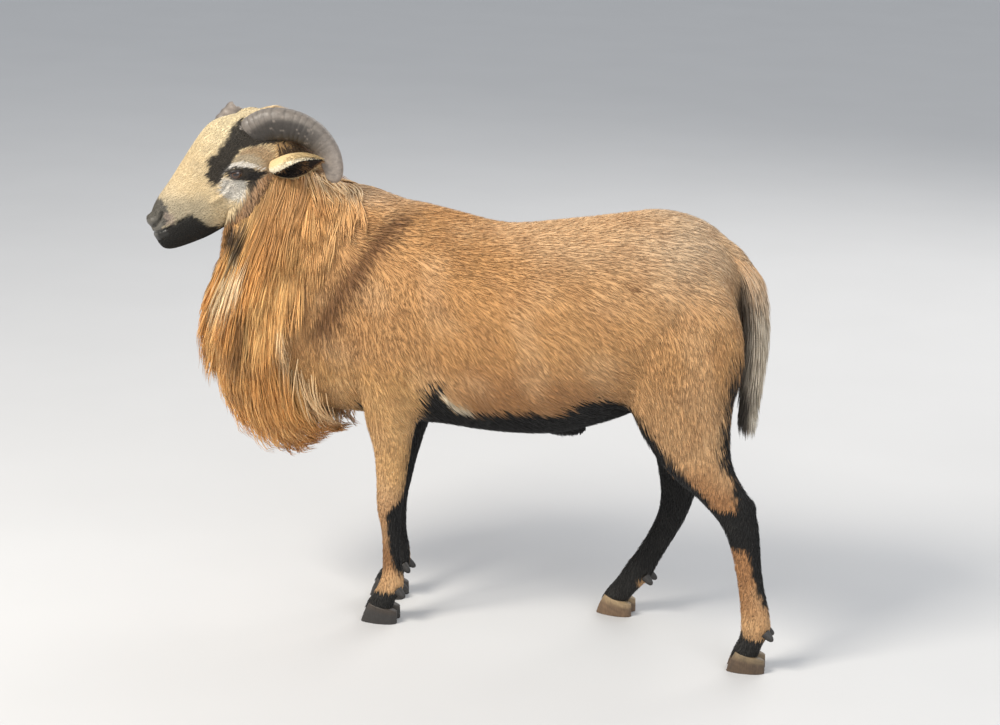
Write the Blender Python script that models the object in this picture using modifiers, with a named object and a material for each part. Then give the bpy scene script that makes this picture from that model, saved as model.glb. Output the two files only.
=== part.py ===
"""A still, life-size model of a Cameroon ram, caught in mid-walk.

The head points to -X and is turned a little to the animal's left (-Y), +Z is up.
The body is worked out whole from lofted sections, fused, and parted with thin cuts
into head, neck, torso, tail and legs. Hooves, dewclaws, eyes, ears and horns are
pieces of their own. The mane and the tail's hair are flat tapered locks.
All sizes are in metres.
"""

import math
import random

import bmesh
import bpy
import numpy as np
from mathutils import Matrix, Vector
from mathutils.bvhtree import BVHTree

# Clearance between pieces that touch
GAP = 0.0003
# Clearance left when a piece is cut by a copy of its neighbour
CUT_GAP = 0.0004

# Voxel of the fused body, rounds of smoothing, and triangles of its copies
BODY_VOXEL = 0.004
SMOOTHING_ROUNDS = 5
TORSO_TRIANGLES = 2950
LEG_TRIANGLES = 4150
HEAD_TRIANGLES = 6900

# Head: where it sits, how far it is turned to the left and tipped down
HEAD_PLACE = np.array([-0.430, -0.015, 0.735])
HEAD_TURN = math.radians(25)
HEAD_TIP = math.radians(35)

# Eye, ear and horn sizes
EYEBALL_RADIUS = 0.0135
LID_THICKNESS = 0.0024
EYE_OPENING = (0.0260, 0.0125)
EYE_SLANT = math.atan2(0.008, 0.021)
EAR_LENGTH = 0.088
EAR_WIDTH = 0.040
EAR_WALL = 0.0030
HORN_RIDGES = 12

# Hoof of two claws
CLAW_LENGTH = 0.058
CLAW_WIDTH = 0.0250
CLAW_FRONT_HEIGHT = 0.034
CLAW_HEEL_HEIGHT = 0.020
CLAW_SPREAD = 0.0130
DEWCLAW_RADIUS = 0.0075
DEWCLAW_LENGTH = 0.017
DEWCLAW_SPREAD = 0.0105

# Mane and tail hair: the mane's core reaches this share of the way to the tips, and
# its locks drift back along the neck by this share of the neck's length
MANE_CORE = 0.42
MANE_DRIFT = 0.15
MANE_ROOT_DEPTH = 0.011
MANE_LOCK_WIDTH = 0.050
MANE_LOCK_THICKNESS = 0.011
TAIL_LOCK_WIDTH = 0.021
TAIL_LOCK_THICKNESS = 0.007
TAIL_LOCK_LIFT = 0.013
TAIL_LOCK_ROWS = 2.5
SEED = 41

TAN = (0.48, 0.27, 0.11)
GOLDEN = (0.56, 0.30, 0.11)
CREAM = (0.66, 0.52, 0.34)
BLACK_HAIR = (0.02, 0.018, 0.017)
HORN_GREY = (0.17, 0.15, 0.13)
HOOF_GREY = (0.06, 0.055, 0.05)
HOOF_TAN = (0.45, 0.30, 0.16)
EYE_BROWN = (0.10, 0.05, 0.02)
TAIL_BUFF = (0.47, 0.38, 0.26)


# Tools for meshes

def clear_scene():
    """Empties the scene of its objects."""
    for thing in list(bpy.data.objects):
        bpy.data.objects.remove(thing)


def new_collection(name):
    """A collection of its own under the scene."""
    collection = bpy.data.collections.new(name)
    bpy.context.scene.collection.children.link(collection)
    return collection


def add_object(name, mesh, collection):
    """An object for a mesh, in the given collection."""
    thing = bpy.data.objects.new(name, mesh)
    collection.objects.link(thing)
    if collection is CUTTERS:
        thing.hide_render = True
        thing.display_type = "WIRE"
    return thing


def mesh_object(name, collection, fill):
    """An object whose mesh is filled by a function that takes a bmesh."""
    shape = bmesh.new()
    fill(shape)
    bmesh.ops.recalc_face_normals(shape, faces=shape.faces)
    mesh = bpy.data.meshes.new(name)
    shape.to_mesh(mesh)
    shape.free()
    return add_object(name, mesh, collection)


def copy_object(source, name, collection):
    """A copy with a mesh of its own."""
    return add_object(name, source.data.copy(), collection)


def drop(thing):
    """Removes an object that has done its work."""
    bpy.data.objects.remove(thing)


def settle(thing):
    """Applies the modifiers of an object to its mesh."""
    graph = bpy.context.evaluated_depsgraph_get()
    mesh = bpy.data.meshes.new_from_object(thing.evaluated_get(graph))
    thing.modifiers.clear()
    thing.data = mesh


def boolean(thing, other, operation, solver="EXACT"):
    """Joins, cuts or crosses an object with another object or a whole collection."""
    modifier = thing.modifiers.new("Boolean", "BOOLEAN")
    modifier.operation = operation
    modifier.solver = solver
    if isinstance(other, bpy.types.Collection):
        modifier.operand_type = "COLLECTION"
        modifier.collection = other
    else:
        modifier.object = other
    settle(thing)


def keep_largest(thing):
    """Keeps the largest closed surface of an object and drops loose scraps."""
    shape = bmesh.new()
    shape.from_mesh(thing.data)
    left = set(shape.verts)
    islands = []
    while left:
        stack = [left.pop()]
        island = list(stack)
        while stack:
            for edge in stack.pop().link_edges:
                for vertex in edge.verts:
                    if vertex in left:
                        left.remove(vertex)
                        stack.append(vertex)
                        island.append(vertex)
        islands.append(island)
    islands.sort(key=len)
    for island in islands[:-1]:
        bmesh.ops.delete(shape, geom=island, context="VERTS")
    shape.to_mesh(thing.data)
    shape.free()


def tidy_mesh(thing, nearest=0.00005):
    """Merges points that a cut left almost on each other, and triangulates."""
    shape = bmesh.new()
    shape.from_mesh(thing.data)
    bmesh.ops.remove_doubles(shape, verts=shape.verts, dist=nearest)
    bmesh.ops.dissolve_degenerate(shape, edges=shape.edges, dist=nearest)
    bmesh.ops.triangulate(shape, faces=shape.faces)
    shape.to_mesh(thing.data)
    shape.free()


def grown_copy(source, gap, collection):
    """A copy whose points stand out along their normals by a small gap."""
    grown = copy_object(source, source.name + "_grown", collection)
    modifier = grown.modifiers.new("Grow", "DISPLACE")
    modifier.mid_level = 0.0
    modifier.strength = gap
    settle(grown)
    return grown


def colour(thing, name, rgb, roughness):
    """Gives an object its own material."""
    material = bpy.data.materials.new(name)
    material.use_nodes = True
    shader = material.node_tree.nodes["Principled BSDF"]
    shader.inputs["Base Color"].default_value = (*rgb, 1.0)
    shader.inputs["Roughness"].default_value = roughness
    thing.data.materials.clear()
    thing.data.materials.append(material)


# Tools for shapes

def smooth_rows(rows, places):
    """Reads a table at fractional rows, on a cubic curve that passes through each row."""
    rows = np.asarray(rows, float)
    places = np.atleast_1d(np.asarray(places, float))
    low = np.clip(places.astype(int), 0, len(rows) - 2)
    part = (places - low)[:, None]
    slope = np.gradient(rows, axis=0)
    start, end = rows[low], rows[low + 1]
    return (
        (1 + 2 * part) * (1 - part) ** 2 * start
        + part * (1 - part) ** 2 * slope[low]
        + part * part * (3 - 2 * part) * end
        + part * part * (part - 1) * slope[low + 1]
    )


def section(count, top_power, bottom_power):
    """A closed section of unit size: how far across and how far up each point lies."""
    angle = np.linspace(0, 2 * np.pi, count, endpoint=False)
    return round_point(angle, top_power, bottom_power)


def round_point(angle, top_power, bottom_power):
    """Across and up on a unit superellipse, its angle measured from the top."""
    sine, cosine = np.sin(angle), np.cos(angle)
    power = np.where(cosine >= 0, 2 / top_power, 2 / bottom_power)
    across = np.sign(sine) * np.abs(sine) ** power
    upward = np.sign(cosine) * np.abs(cosine) ** power
    return across, upward


def skin_over(shape, rings):
    """Adds a closed skin over rings of points, its two ends closed by a fan."""
    rings = np.asarray(rings, float)
    loops = [[shape.verts.new(point) for point in ring] for ring in rings]
    count = len(loops[0])
    for first, second in zip(loops, loops[1:]):
        for i in range(count):
            j = (i + 1) % count
            shape.faces.new((first[i], first[j], second[j], second[i]))
    for loop, ring in ((loops[0], rings[0]), (loops[-1], rings[-1])):
        centre = shape.verts.new(ring.mean(axis=0))
        for i in range(count):
            shape.faces.new((loop[i], loop[(i + 1) % count], centre))


def add_blob(shape, place, radii, axes=None, detail=3):
    """Adds an ellipsoid with its radii along the given axes."""
    frame = np.eye(3) if axes is None else np.asarray(axes)
    matrix = Matrix.Identity(4)
    for column in range(3):
        for row in range(3):
            matrix[row][column] = frame[column][row] * radii[column]
        matrix[column][3] = place[column]
    bmesh.ops.create_icosphere(shape, subdivisions=detail, radius=1.0, matrix=matrix)


def prism(name, outline, y_from, y_to):
    """A cutter: an outline in X and Z, carried along Y."""
    def fill(shape):
        rings = [[(x, y, z) for x, z in outline] for y in (y_from, y_to)]
        skin_over(shape, rings)
    return mesh_object(name, CUTTERS, fill)


def slab(name, place, normal, thickness, reach=1.5):
    """A cutter: a block whose face passes through a place, and which lies behind it."""
    normal = Vector(normal).normalized()
    turn = normal.to_track_quat("Z", "Y").to_matrix().to_4x4()
    centre = Vector(place) - normal * thickness / 2
    size = Matrix.Diagonal((reach, reach, thickness, 1.0))

    def fill(shape):
        matrix = Matrix.Translation(centre) @ turn @ size
        bmesh.ops.create_cube(shape, size=1.0, matrix=matrix)
    return mesh_object(name, CUTTERS, fill)


# Head frame: forward along the face, up through the forehead, and to the left

HEAD_FORWARD = np.array([
    -math.cos(HEAD_TURN) * math.cos(HEAD_TIP),
    -math.sin(HEAD_TURN) * math.cos(HEAD_TIP),
    -math.sin(HEAD_TIP),
])
HEAD_UP = np.array([
    -math.cos(HEAD_TURN) * math.sin(HEAD_TIP),
    -math.sin(HEAD_TURN) * math.sin(HEAD_TIP),
    math.cos(HEAD_TIP),
])
HEAD_LEFT = np.array([math.sin(HEAD_TURN), -math.cos(HEAD_TURN), 0.0])
HEAD_AXES = (HEAD_FORWARD, HEAD_UP, HEAD_LEFT)


def head_point(forward, up, left):
    """World place of a point given in the head's own frame."""
    return (
        HEAD_PLACE
        + np.multiply.outer(forward, HEAD_FORWARD)
        + np.multiply.outer(up, HEAD_UP)
        + np.multiply.outer(left, HEAD_LEFT)
    )


# Torso: x, top, bottom, half width, height of the widest place

TORSO = (
    (-0.350, 0.560, 0.400, 0.060, 0.48),
    (-0.325, 0.620, 0.345, 0.100, 0.48),
    (-0.285, 0.660, 0.322, 0.122, 0.48),
    (-0.240, 0.668, 0.318, 0.135, 0.48),
    (-0.170, 0.656, 0.320, 0.145, 0.47),
    (-0.090, 0.643, 0.317, 0.158, 0.46),
    (0.000, 0.655, 0.322, 0.165, 0.46),
    (0.080, 0.669, 0.344, 0.160, 0.48),
    (0.140, 0.680, 0.372, 0.148, 0.50),
    (0.195, 0.674, 0.405, 0.135, 0.52),
    (0.235, 0.655, 0.430, 0.115, 0.54),
    (0.262, 0.628, 0.455, 0.088, 0.55),
    (0.280, 0.585, 0.500, 0.045, 0.54),
)


def add_torso(shape):
    """Rings stand square to the length of the body."""
    rows = smooth_rows(TORSO, np.linspace(0, len(TORSO) - 1, 44))
    across, upward = section(40, 2.0, 2.2)
    x, top, bottom, wide, middle = (column[:, None] for column in rows.T)
    reach = np.where(upward >= 0, top - middle, middle - bottom)
    rings = np.stack([
        np.broadcast_to(x, reach.shape),
        wide * across,
        middle + reach * upward,
    ], axis=-1)
    skin_over(shape, rings)


def add_underside(shape):
    """Sheath on the belly and scrotum between the thighs."""
    add_blob(shape, (0.010, 0.0, 0.327), (0.042, 0.015, 0.018))
    add_blob(shape, (0.186, 0.0, 0.385), (0.030, 0.024, 0.050))
    for side in (-1, 1):
        add_blob(shape, (0.188, 0.017 * side, 0.325), (0.026, 0.023, 0.045))


# Neck: top x and z, bottom x and z, sideways place, half width
# The first table is the flesh, the second the reach of the hair's tips

NECK_CORE = (
    (-0.478, 0.772, -0.520, 0.610, -0.036, 0.054),
    (-0.432, 0.742, -0.516, 0.555, -0.027, 0.062),
    (-0.392, 0.712, -0.506, 0.490, -0.015, 0.074),
    (-0.352, 0.690, -0.480, 0.425, -0.006, 0.090),
    (-0.300, 0.680, -0.430, 0.365, 0.000, 0.106),
    (-0.245, 0.668, -0.350, 0.328, 0.000, 0.120),
    (-0.190, 0.655, -0.270, 0.325, 0.000, 0.130),
)
MANE_TIPS = (
    (-0.474, 0.778, -0.534, 0.592, -0.038, 0.066),
    (-0.428, 0.752, -0.575, 0.490, -0.028, 0.086),
    (-0.388, 0.722, -0.594, 0.385, -0.016, 0.108),
    (-0.348, 0.700, -0.555, 0.292, -0.007, 0.128),
    (-0.300, 0.690, -0.462, 0.240, 0.000, 0.142),
    (-0.245, 0.680, -0.372, 0.268, 0.000, 0.150),
    (-0.190, 0.668, -0.285, 0.300, 0.000, 0.156),
)


def neck_surface(table, along, angle, bottom_power):
    """Points of the neck: along it from head to chest, and round it from the crest."""
    along, angle = np.broadcast_arrays(along, angle)
    rows = smooth_rows(table, along.ravel() * (len(table) - 1))
    top_x, top_z, low_x, low_z, side, wide = rows.T
    across, upward = round_point(angle.ravel(), 2.0, bottom_power)
    points = np.stack([
        (top_x + low_x) / 2 + (top_x - low_x) / 2 * upward,
        side + wide * across,
        (top_z + low_z) / 2 + (top_z - low_z) / 2 * upward,
    ], axis=-1)
    return points.reshape(along.shape + (3,))


def neck_point(along, angle, height):
    """A place in the coat, from the flesh at height 0 to the tips at height 1."""
    flesh = neck_surface(NECK_CORE, along, angle, 2.1)
    tips = neck_surface(MANE_TIPS, along, angle, 1.75)
    return flesh + np.asarray(height)[..., None] * (tips - flesh)


def core_share(along):
    """How far the dense inner coat reaches: all of its share on the neck, none on the chest."""
    fade = np.clip((np.asarray(along) - 0.60) / 0.30, 0, 1)
    return MANE_CORE * (1 - fade * fade * (3 - 2 * fade))


def add_neck(shape):
    """The neck with the dense inner part of its coat."""
    along = np.linspace(0, 1, 24)[:, None]
    angle = np.linspace(0, 2 * np.pi, 36, endpoint=False)[None, :]
    skin_over(shape, neck_point(along, angle, core_share(along) + 0 * angle))


# Head: forward, top, bottom, half width, height of the widest place

HEAD = (
    (-0.030, 0.050, -0.040, 0.030, 0.010),
    (-0.016, 0.070, -0.055, 0.046, 0.015),
    (0.010, 0.083, -0.062, 0.053, 0.018),
    (0.040, 0.096, -0.062, 0.054, 0.025),
    (0.068, 0.105, -0.056, 0.053, 0.030),
    (0.092, 0.102, -0.048, 0.051, 0.028),
    (0.120, 0.092, -0.043, 0.045, 0.020),
    (0.150, 0.080, -0.040, 0.038, 0.014),
    (0.180, 0.068, -0.037, 0.032, 0.011),
    (0.205, 0.059, -0.031, 0.030, 0.010),
    (0.225, 0.048, -0.025, 0.028, 0.009),
    (0.240, 0.032, -0.018, 0.021, 0.006),
    (0.247, 0.014, -0.008, 0.009, 0.003),
)

EYE = (0.0865, 0.0285, 0.0415)
HORN_SIDES = {"left": 1, "right": -1}


def add_head(shape):
    """Skull and muzzle as rings square to the face, with the soft forms set on them."""
    rows = smooth_rows(HEAD, np.linspace(0, len(HEAD) - 1, 40))
    across, upward = section(32, 2.5, 1.9)
    forward, top, bottom, wide, middle = (column[:, None] for column in rows.T)
    reach = np.where(upward >= 0, top - middle, middle - bottom)
    points = head_point(
        np.broadcast_to(forward, reach.shape),
        middle + reach * upward,
        wide * across,
    )
    skin_over(shape, points)
    forms = (
        ((0.088, 0.030, 0.034), (0.027, 0.022, 0.019)),
        ((0.080, 0.052, 0.038), (0.030, 0.013, 0.014)),
        ((0.030, 0.060, 0.030), (0.034, 0.030, 0.020)),
        ((0.088, -0.010, 0.034), (0.042, 0.028, 0.015)),
        ((0.221, 0.020, 0.016), (0.021, 0.014, 0.012)),
        ((0.212, -0.004, 0.012), (0.026, 0.014, 0.013)),
    )
    for (forward, up, left), radii in forms:
        for side in (1, -1):
            place = head_point(forward, up, left * side)
            add_blob(shape, place, radii, HEAD_AXES)
    add_blob(shape, head_point(0.234, -0.008, 0.0), (0.013, 0.010, 0.014), HEAD_AXES)
    add_blob(shape, head_point(0.232, 0.034, 0.0), (0.012, 0.012, 0.018), HEAD_AXES)
    lid_radius = EYEBALL_RADIUS + LID_THICKNESS
    for side in (1, -1):
        place = head_point(EYE[0], EYE[1], EYE[2] * side)
        add_blob(shape, place, (lid_radius,) * 3, HEAD_AXES)


# Legs: x, sideways place, height, half depth and half width, from the top down

FORELEG_LEFT = (
    (-0.232, -0.080, 0.545, 0.075, 0.040),
    (-0.236, -0.088, 0.480, 0.076, 0.046),
    (-0.241, -0.089, 0.430, 0.068, 0.044),
    (-0.243, -0.085, 0.370, 0.050, 0.038),
    (-0.244, -0.080, 0.330, 0.041, 0.033),
    (-0.243, -0.075, 0.285, 0.030, 0.027),
    (-0.245, -0.071, 0.240, 0.025, 0.023),
    (-0.248, -0.068, 0.200, 0.022, 0.022),
    (-0.248, -0.067, 0.180, 0.0195, 0.021),
    (-0.2455, -0.066, 0.150, 0.0165, 0.0160),
    (-0.2445, -0.065, 0.110, 0.0155, 0.0145),
    (-0.242, -0.064, 0.080, 0.0185, 0.018),
    (-0.244, -0.064, 0.062, 0.0205, 0.021),
    (-0.254, -0.063, 0.043, 0.0190, 0.020),
    (-0.263, -0.062, 0.024, 0.0220, 0.023),
    (-0.270, -0.062, 0.008, 0.0220, 0.023),
)
FORELEG_RIGHT = (
    (-0.232, 0.080, 0.545, 0.075, 0.040),
    (-0.236, 0.088, 0.480, 0.076, 0.046),
    (-0.241, 0.089, 0.430, 0.068, 0.044),
    (-0.246, 0.085, 0.370, 0.050, 0.038),
    (-0.250, 0.080, 0.330, 0.041, 0.033),
    (-0.256, 0.074, 0.285, 0.030, 0.027),
    (-0.263, 0.067, 0.240, 0.025, 0.023),
    (-0.268, 0.062, 0.200, 0.022, 0.022),
    (-0.2695, 0.060, 0.180, 0.0195, 0.021),
    (-0.2695, 0.058, 0.150, 0.0165, 0.0160),
    (-0.267, 0.056, 0.110, 0.0155, 0.0145),
    (-0.264, 0.054, 0.080, 0.0185, 0.018),
    (-0.265, 0.053, 0.062, 0.0205, 0.021),
    (-0.273, 0.052, 0.043, 0.0190, 0.020),
    (-0.281, 0.051, 0.024, 0.0220, 0.023),
    (-0.287, 0.050, 0.008, 0.0220, 0.023),
)
HINDLEG_LEFT = (
    (0.172, -0.048, 0.640, 0.030, 0.018),
    (0.184, -0.064, 0.605, 0.062, 0.034),
    (0.198, -0.082, 0.545, 0.086, 0.048),
    (0.205, -0.090, 0.500, 0.095, 0.055),
    (0.206, -0.093, 0.455, 0.096, 0.056),
    (0.211, -0.094, 0.405, 0.083, 0.050),
    (0.224, -0.096, 0.360, 0.068, 0.044),
    (0.243, -0.098, 0.320, 0.052, 0.036),
    (0.268, -0.101, 0.285, 0.036, 0.028),
    (0.298, -0.103, 0.247, 0.031, 0.021),
    (0.312, -0.104, 0.213, 0.0265, 0.0185),
    (0.321, -0.105, 0.170, 0.0220, 0.0155),
    (0.329, -0.106, 0.127, 0.0215, 0.0150),
    (0.335, -0.106, 0.098, 0.0230, 0.0170),
    (0.338, -0.106, 0.070, 0.0240, 0.0210),
    (0.332, -0.105, 0.046, 0.0200, 0.0195),
    (0.324, -0.105, 0.024, 0.0210, 0.0215),
    (0.319, -0.105, 0.008, 0.0210, 0.0215),
)
HINDLEG_RIGHT = (
    (0.172, 0.048, 0.640, 0.030, 0.018),
    (0.184, 0.064, 0.605, 0.062, 0.034),
    (0.196, 0.082, 0.545, 0.086, 0.048),
    (0.200, 0.090, 0.500, 0.094, 0.055),
    (0.200, 0.093, 0.455, 0.092, 0.056),
    (0.195, 0.093, 0.405, 0.080, 0.050),
    (0.188, 0.092, 0.355, 0.068, 0.044),
    (0.181, 0.090, 0.305, 0.050, 0.036),
    (0.180, 0.088, 0.250, 0.033, 0.027),
    (0.182, 0.086, 0.210, 0.0290, 0.021),
    (0.174, 0.085, 0.170, 0.0240, 0.0175),
    (0.156, 0.084, 0.130, 0.0215, 0.0155),
    (0.139, 0.083, 0.098, 0.0215, 0.0155),
    (0.125, 0.082, 0.073, 0.0235, 0.0195),
    (0.106, 0.081, 0.047, 0.0200, 0.0200),
    (0.090, 0.080, 0.024, 0.0210, 0.0215),
    (0.082, 0.080, 0.008, 0.0210, 0.0215),
)
LEGS = {
    "foreleg_left": FORELEG_LEFT,
    "foreleg_right": FORELEG_RIGHT,
    "hindleg_left": HINDLEG_LEFT,
    "hindleg_right": HINDLEG_RIGHT,
}


def add_tube(shape, table, count, sides):
    """A limb or tail: rings square to its middle line, which lies near one X-Z plane."""
    rows = smooth_rows(table, np.linspace(0, len(table) - 1, count))
    centre = rows[:, :3]
    along = np.gradient(centre, axis=0)
    depth_way = np.stack([-along[:, 2], np.zeros(count), along[:, 0]], axis=-1)
    depth_way /= np.linalg.norm(depth_way, axis=1, keepdims=True)
    across, forward = section(sides, 2.1, 2.1)
    rings = centre[:, None, :] + (rows[:, 3, None] * forward)[..., None] * depth_way[:, None, :]
    rings[..., 1] += rows[:, 4, None] * across
    skin_over(shape, rings)


def add_hock(shape, x, side, height):
    """Point of the hock, where the tendon meets the heel bone."""
    add_blob(shape, (x, side, height), (0.010, 0.011, 0.021))


# Tail: x, sideways place, height, half depth and half width

TAIL_CORE = (
    (0.235, 0.0, 0.632, 0.020, 0.022),
    (0.262, 0.0, 0.614, 0.021, 0.022),
    (0.287, 0.0, 0.583, 0.018, 0.019),
    (0.299, 0.0, 0.540, 0.015, 0.016),
    (0.303, 0.0, 0.490, 0.013, 0.014),
    (0.301, 0.0, 0.430, 0.011, 0.012),
    (0.298, 0.0, 0.375, 0.007, 0.009),
)


def fused_body():
    """The whole animal as one skin: its forms are fused by voxels and smoothed."""
    def fill(shape):
        add_torso(shape)
        add_underside(shape)
        add_neck(shape)
        add_head(shape)
        for table in LEGS.values():
            add_tube(shape, table, 60, 24)
        add_hock(shape, 0.322, -0.103, 0.250)
        add_hock(shape, 0.204, 0.086, 0.218)
    body = mesh_object("whole", CUTTERS, fill)
    remesh = body.modifiers.new("Fuse", "REMESH")
    remesh.mode = "VOXEL"
    remesh.voxel_size = BODY_VOXEL
    smooth = body.modifiers.new("Smooth", "SMOOTH")
    smooth.factor = 0.5
    smooth.iterations = SMOOTHING_ROUNDS
    settle(body)
    return body


def thinned(body, name, triangles):
    """A copy of the fused body with fewer triangles."""
    copy = copy_object(body, name, CUTTERS)
    faces = sum(len(face.vertices) - 2 for face in copy.data.polygons)
    modifier = copy.modifiers.new("Thin", "DECIMATE")
    modifier.ratio = triangles / faces
    settle(copy)
    keep_largest(copy)
    return copy


# Where the body is parted: planes below the head and before the trunk, and the blocks
# of the legs, which start this far from the middle plane and end past the flank

FORELEG_INNER = 0.044
HINDLEG_INNER = 0.036
LEG_OUTER = 0.30
PLANE_OVERLAP = 0.002
HEAD_CUT_NORMAL = 0.19 * HEAD_FORWARD + 0.98 * HEAD_UP
HEAD_CUT_PLACE = head_point(-0.025, -0.030, 0.0)
NECK_CUT_PLACE = np.array([-0.300, 0.0, 0.44])
NECK_CUT_NORMAL = np.array([1.0, 0.0, -0.115])


def arch(left, right, foot, spring, top, steps=12):
    """Outline of an arch: two straight sides and a half ellipse over them."""
    centre, half = (left + right) / 2, (right - left) / 2
    points = [(left, foot)]
    for step in range(steps + 1):
        angle = math.pi * (1 - step / steps)
        points.append((centre + half * math.cos(angle), spring + (top - spring) * math.sin(angle)))
    points.append((right, foot))
    return points


def leg_outline(name):
    """Side outline of what belongs to a leg."""
    if name.startswith("fore"):
        return arch(-0.294, -0.158, -0.02, 0.400, 0.480)
    thigh = arch(0.104, 0.385, -0.02, 0.425, 0.565)
    return [(0.0, -0.02), (0.0, 0.25), (0.088, 0.325)] + thigh[1:]


def leg_cell(name, clearance):
    """The block of space that belongs to a leg, made larger by a clearance."""
    inner = FORELEG_INNER if name.startswith("fore") else HINDLEG_INNER
    outline = np.array(leg_outline(name))
    centre = outline.mean(axis=0)
    away = outline - centre
    away /= np.linalg.norm(away, axis=1, keepdims=True)
    outline = outline + away * clearance
    side = -1 if name.endswith("left") else 1
    near, far = side * (inner - clearance), side * LEG_OUTER
    return prism(name + "_cell", outline.tolist(), min(near, far), max(near, far))


# Hooves: heading of the toes, sole centre

FEET = {
    "foreleg_left": (-0.262, -0.062, math.radians(4)),
    "foreleg_right": (-0.279, 0.051, math.radians(-3)),
    "hindleg_left": (0.326, -0.105, math.radians(5)),
    "hindleg_right": (0.091, 0.080, math.radians(-5)),
}
CORONET_SLOPE = (CLAW_FRONT_HEIGHT - CLAW_HEEL_HEIGHT) / CLAW_LENGTH


def foot_axes(name):
    """Toe direction and outward direction of a foot, on the floor."""
    turn = FEET[name][2]
    toe = np.array([-math.cos(turn), -math.sin(turn), 0.0])
    left = np.array([math.sin(turn), -math.cos(turn), 0.0])
    return toe, left


def coronet_height(along):
    """Height of the hoof's upper rim at a distance ahead of the sole's centre."""
    middle = (CLAW_FRONT_HEIGHT + CLAW_HEEL_HEIGHT) / 2
    return middle + CORONET_SLOPE * along


def claw(name, foot, side):
    """One claw of a hoof: a flat sole, a bowed outer wall and a slanted toe."""
    x, y, _ = FEET[foot]
    toe, left = foot_axes(foot)
    angle = np.linspace(0, 2 * np.pi, 12, endpoint=False)
    taper = 1 - 0.30 * (1 + np.cos(angle)) / 2
    outward = np.sin(angle) * side > 0
    bow = np.where(outward, 1.0, 0.92)
    levels = ((0.0, 1.0, 0.0), (0.5, 0.91, -0.0025), (1.0, 0.77, -0.0060))

    def fill(shape):
        rings = []
        for level, scale, shift in levels:
            along = np.cos(angle) * CLAW_LENGTH / 2 * scale + shift
            across = np.sin(angle) * CLAW_WIDTH / 2 * taper * bow * (0.6 + 0.4 * scale)
            rim = coronet_height(along) - GAP
            base = np.array([x, y, 0.0]) + left * side * CLAW_SPREAD
            ring = base + along[:, None] * toe + across[:, None] * left
            ring[:, 2] = rim * level
            rings.append(ring)
        skin_over(shape, rings)
    return mesh_object(name, MODEL, fill)


def hoof_cutter(foot):
    """Takes away what the leg has below the hoof's upper rim."""
    x, y, _ = FEET[foot]
    toe, _ = foot_axes(foot)
    normal = np.array([0.0, 0.0, 1.0]) - CORONET_SLOPE * toe
    place = np.array([x, y, coronet_height(0.0)])
    return slab(foot + "_hoof_cut", place, normal, 0.08, 0.16)


def dewclaw(name, foot, side):
    """A small blunt cone behind the fetlock, its root sunk in the leg."""
    rows = np.array(LEGS[foot])
    fetlock = rows[len(rows) - 4]
    toe, left = foot_axes(foot)
    root = np.array([fetlock[0], fetlock[1], fetlock[2] - 0.006])
    root = root - toe * (fetlock[3] - 0.009) + left * side * DEWCLAW_SPREAD
    way = Vector(-toe * 0.75 + left * side * 0.25 + np.array([0.0, 0.0, -0.62])).normalized()
    centre = Vector(root) + way * (DEWCLAW_LENGTH / 2)
    turn = way.to_track_quat("Z", "Y").to_matrix().to_4x4()

    def fill(shape):
        bmesh.ops.create_cone(
            shape, cap_ends=True, segments=8, depth=DEWCLAW_LENGTH,
            radius1=DEWCLAW_RADIUS, radius2=DEWCLAW_RADIUS * 0.55,
            matrix=Matrix.Translation(centre) @ turn,
        )
    return mesh_object(name, MODEL, fill)


# Horns, in the head's frame: forward, up, left, half height, half thickness

HORN_LEFT = (
    (0.044, 0.057, 0.024, 0.0265, 0.0165),
    (0.022, 0.060, 0.036, 0.0275, 0.0175),
    (-0.002, 0.057, 0.046, 0.0255, 0.0170),
    (-0.027, 0.038, 0.057, 0.0235, 0.0160),
    (-0.042, 0.012, 0.067, 0.0215, 0.0150),
    (-0.046, -0.016, 0.076, 0.0185, 0.0135),
    (-0.040, -0.040, 0.083, 0.0160, 0.0120),
    (-0.031, -0.056, 0.087, 0.0120, 0.0090),
    (-0.027, -0.062, 0.088, 0.0050, 0.0040),
)


def horn_left(name):
    """Sweeps back and down beside the head, ringed by ridges that fade to the tip."""
    count = 2 * HORN_RIDGES + 3
    rows = smooth_rows(HORN_LEFT, np.linspace(0, len(HORN_LEFT) - 1, count))
    centre = head_point(rows[:, 0], rows[:, 1], rows[:, 2])
    along = np.gradient(centre, axis=0)
    along /= np.linalg.norm(along, axis=1, keepdims=True)
    side = HEAD_LEFT - (along @ HEAD_LEFT)[:, None] * along
    side /= np.linalg.norm(side, axis=1, keepdims=True)
    outer = np.cross(side, along)
    ridge = np.where(np.arange(count) % 2 == 0, 1.035, 0.965)
    fade = np.linspace(1, 0.2, count)
    ridge = 1 + (ridge - 1) * fade
    across, upward = section(10, 2.6, 1.8)
    tall = (rows[:, 3] * ridge)[:, None]
    thick = (rows[:, 4] * ridge)[:, None]
    rings = (
        centre[:, None, :]
        + (tall * upward)[..., None] * outer[:, None, :]
        + (thick * across)[..., None] * side[:, None, :]
    )

    return mesh_object(name, MODEL, lambda shape: skin_over(shape, rings))


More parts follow.
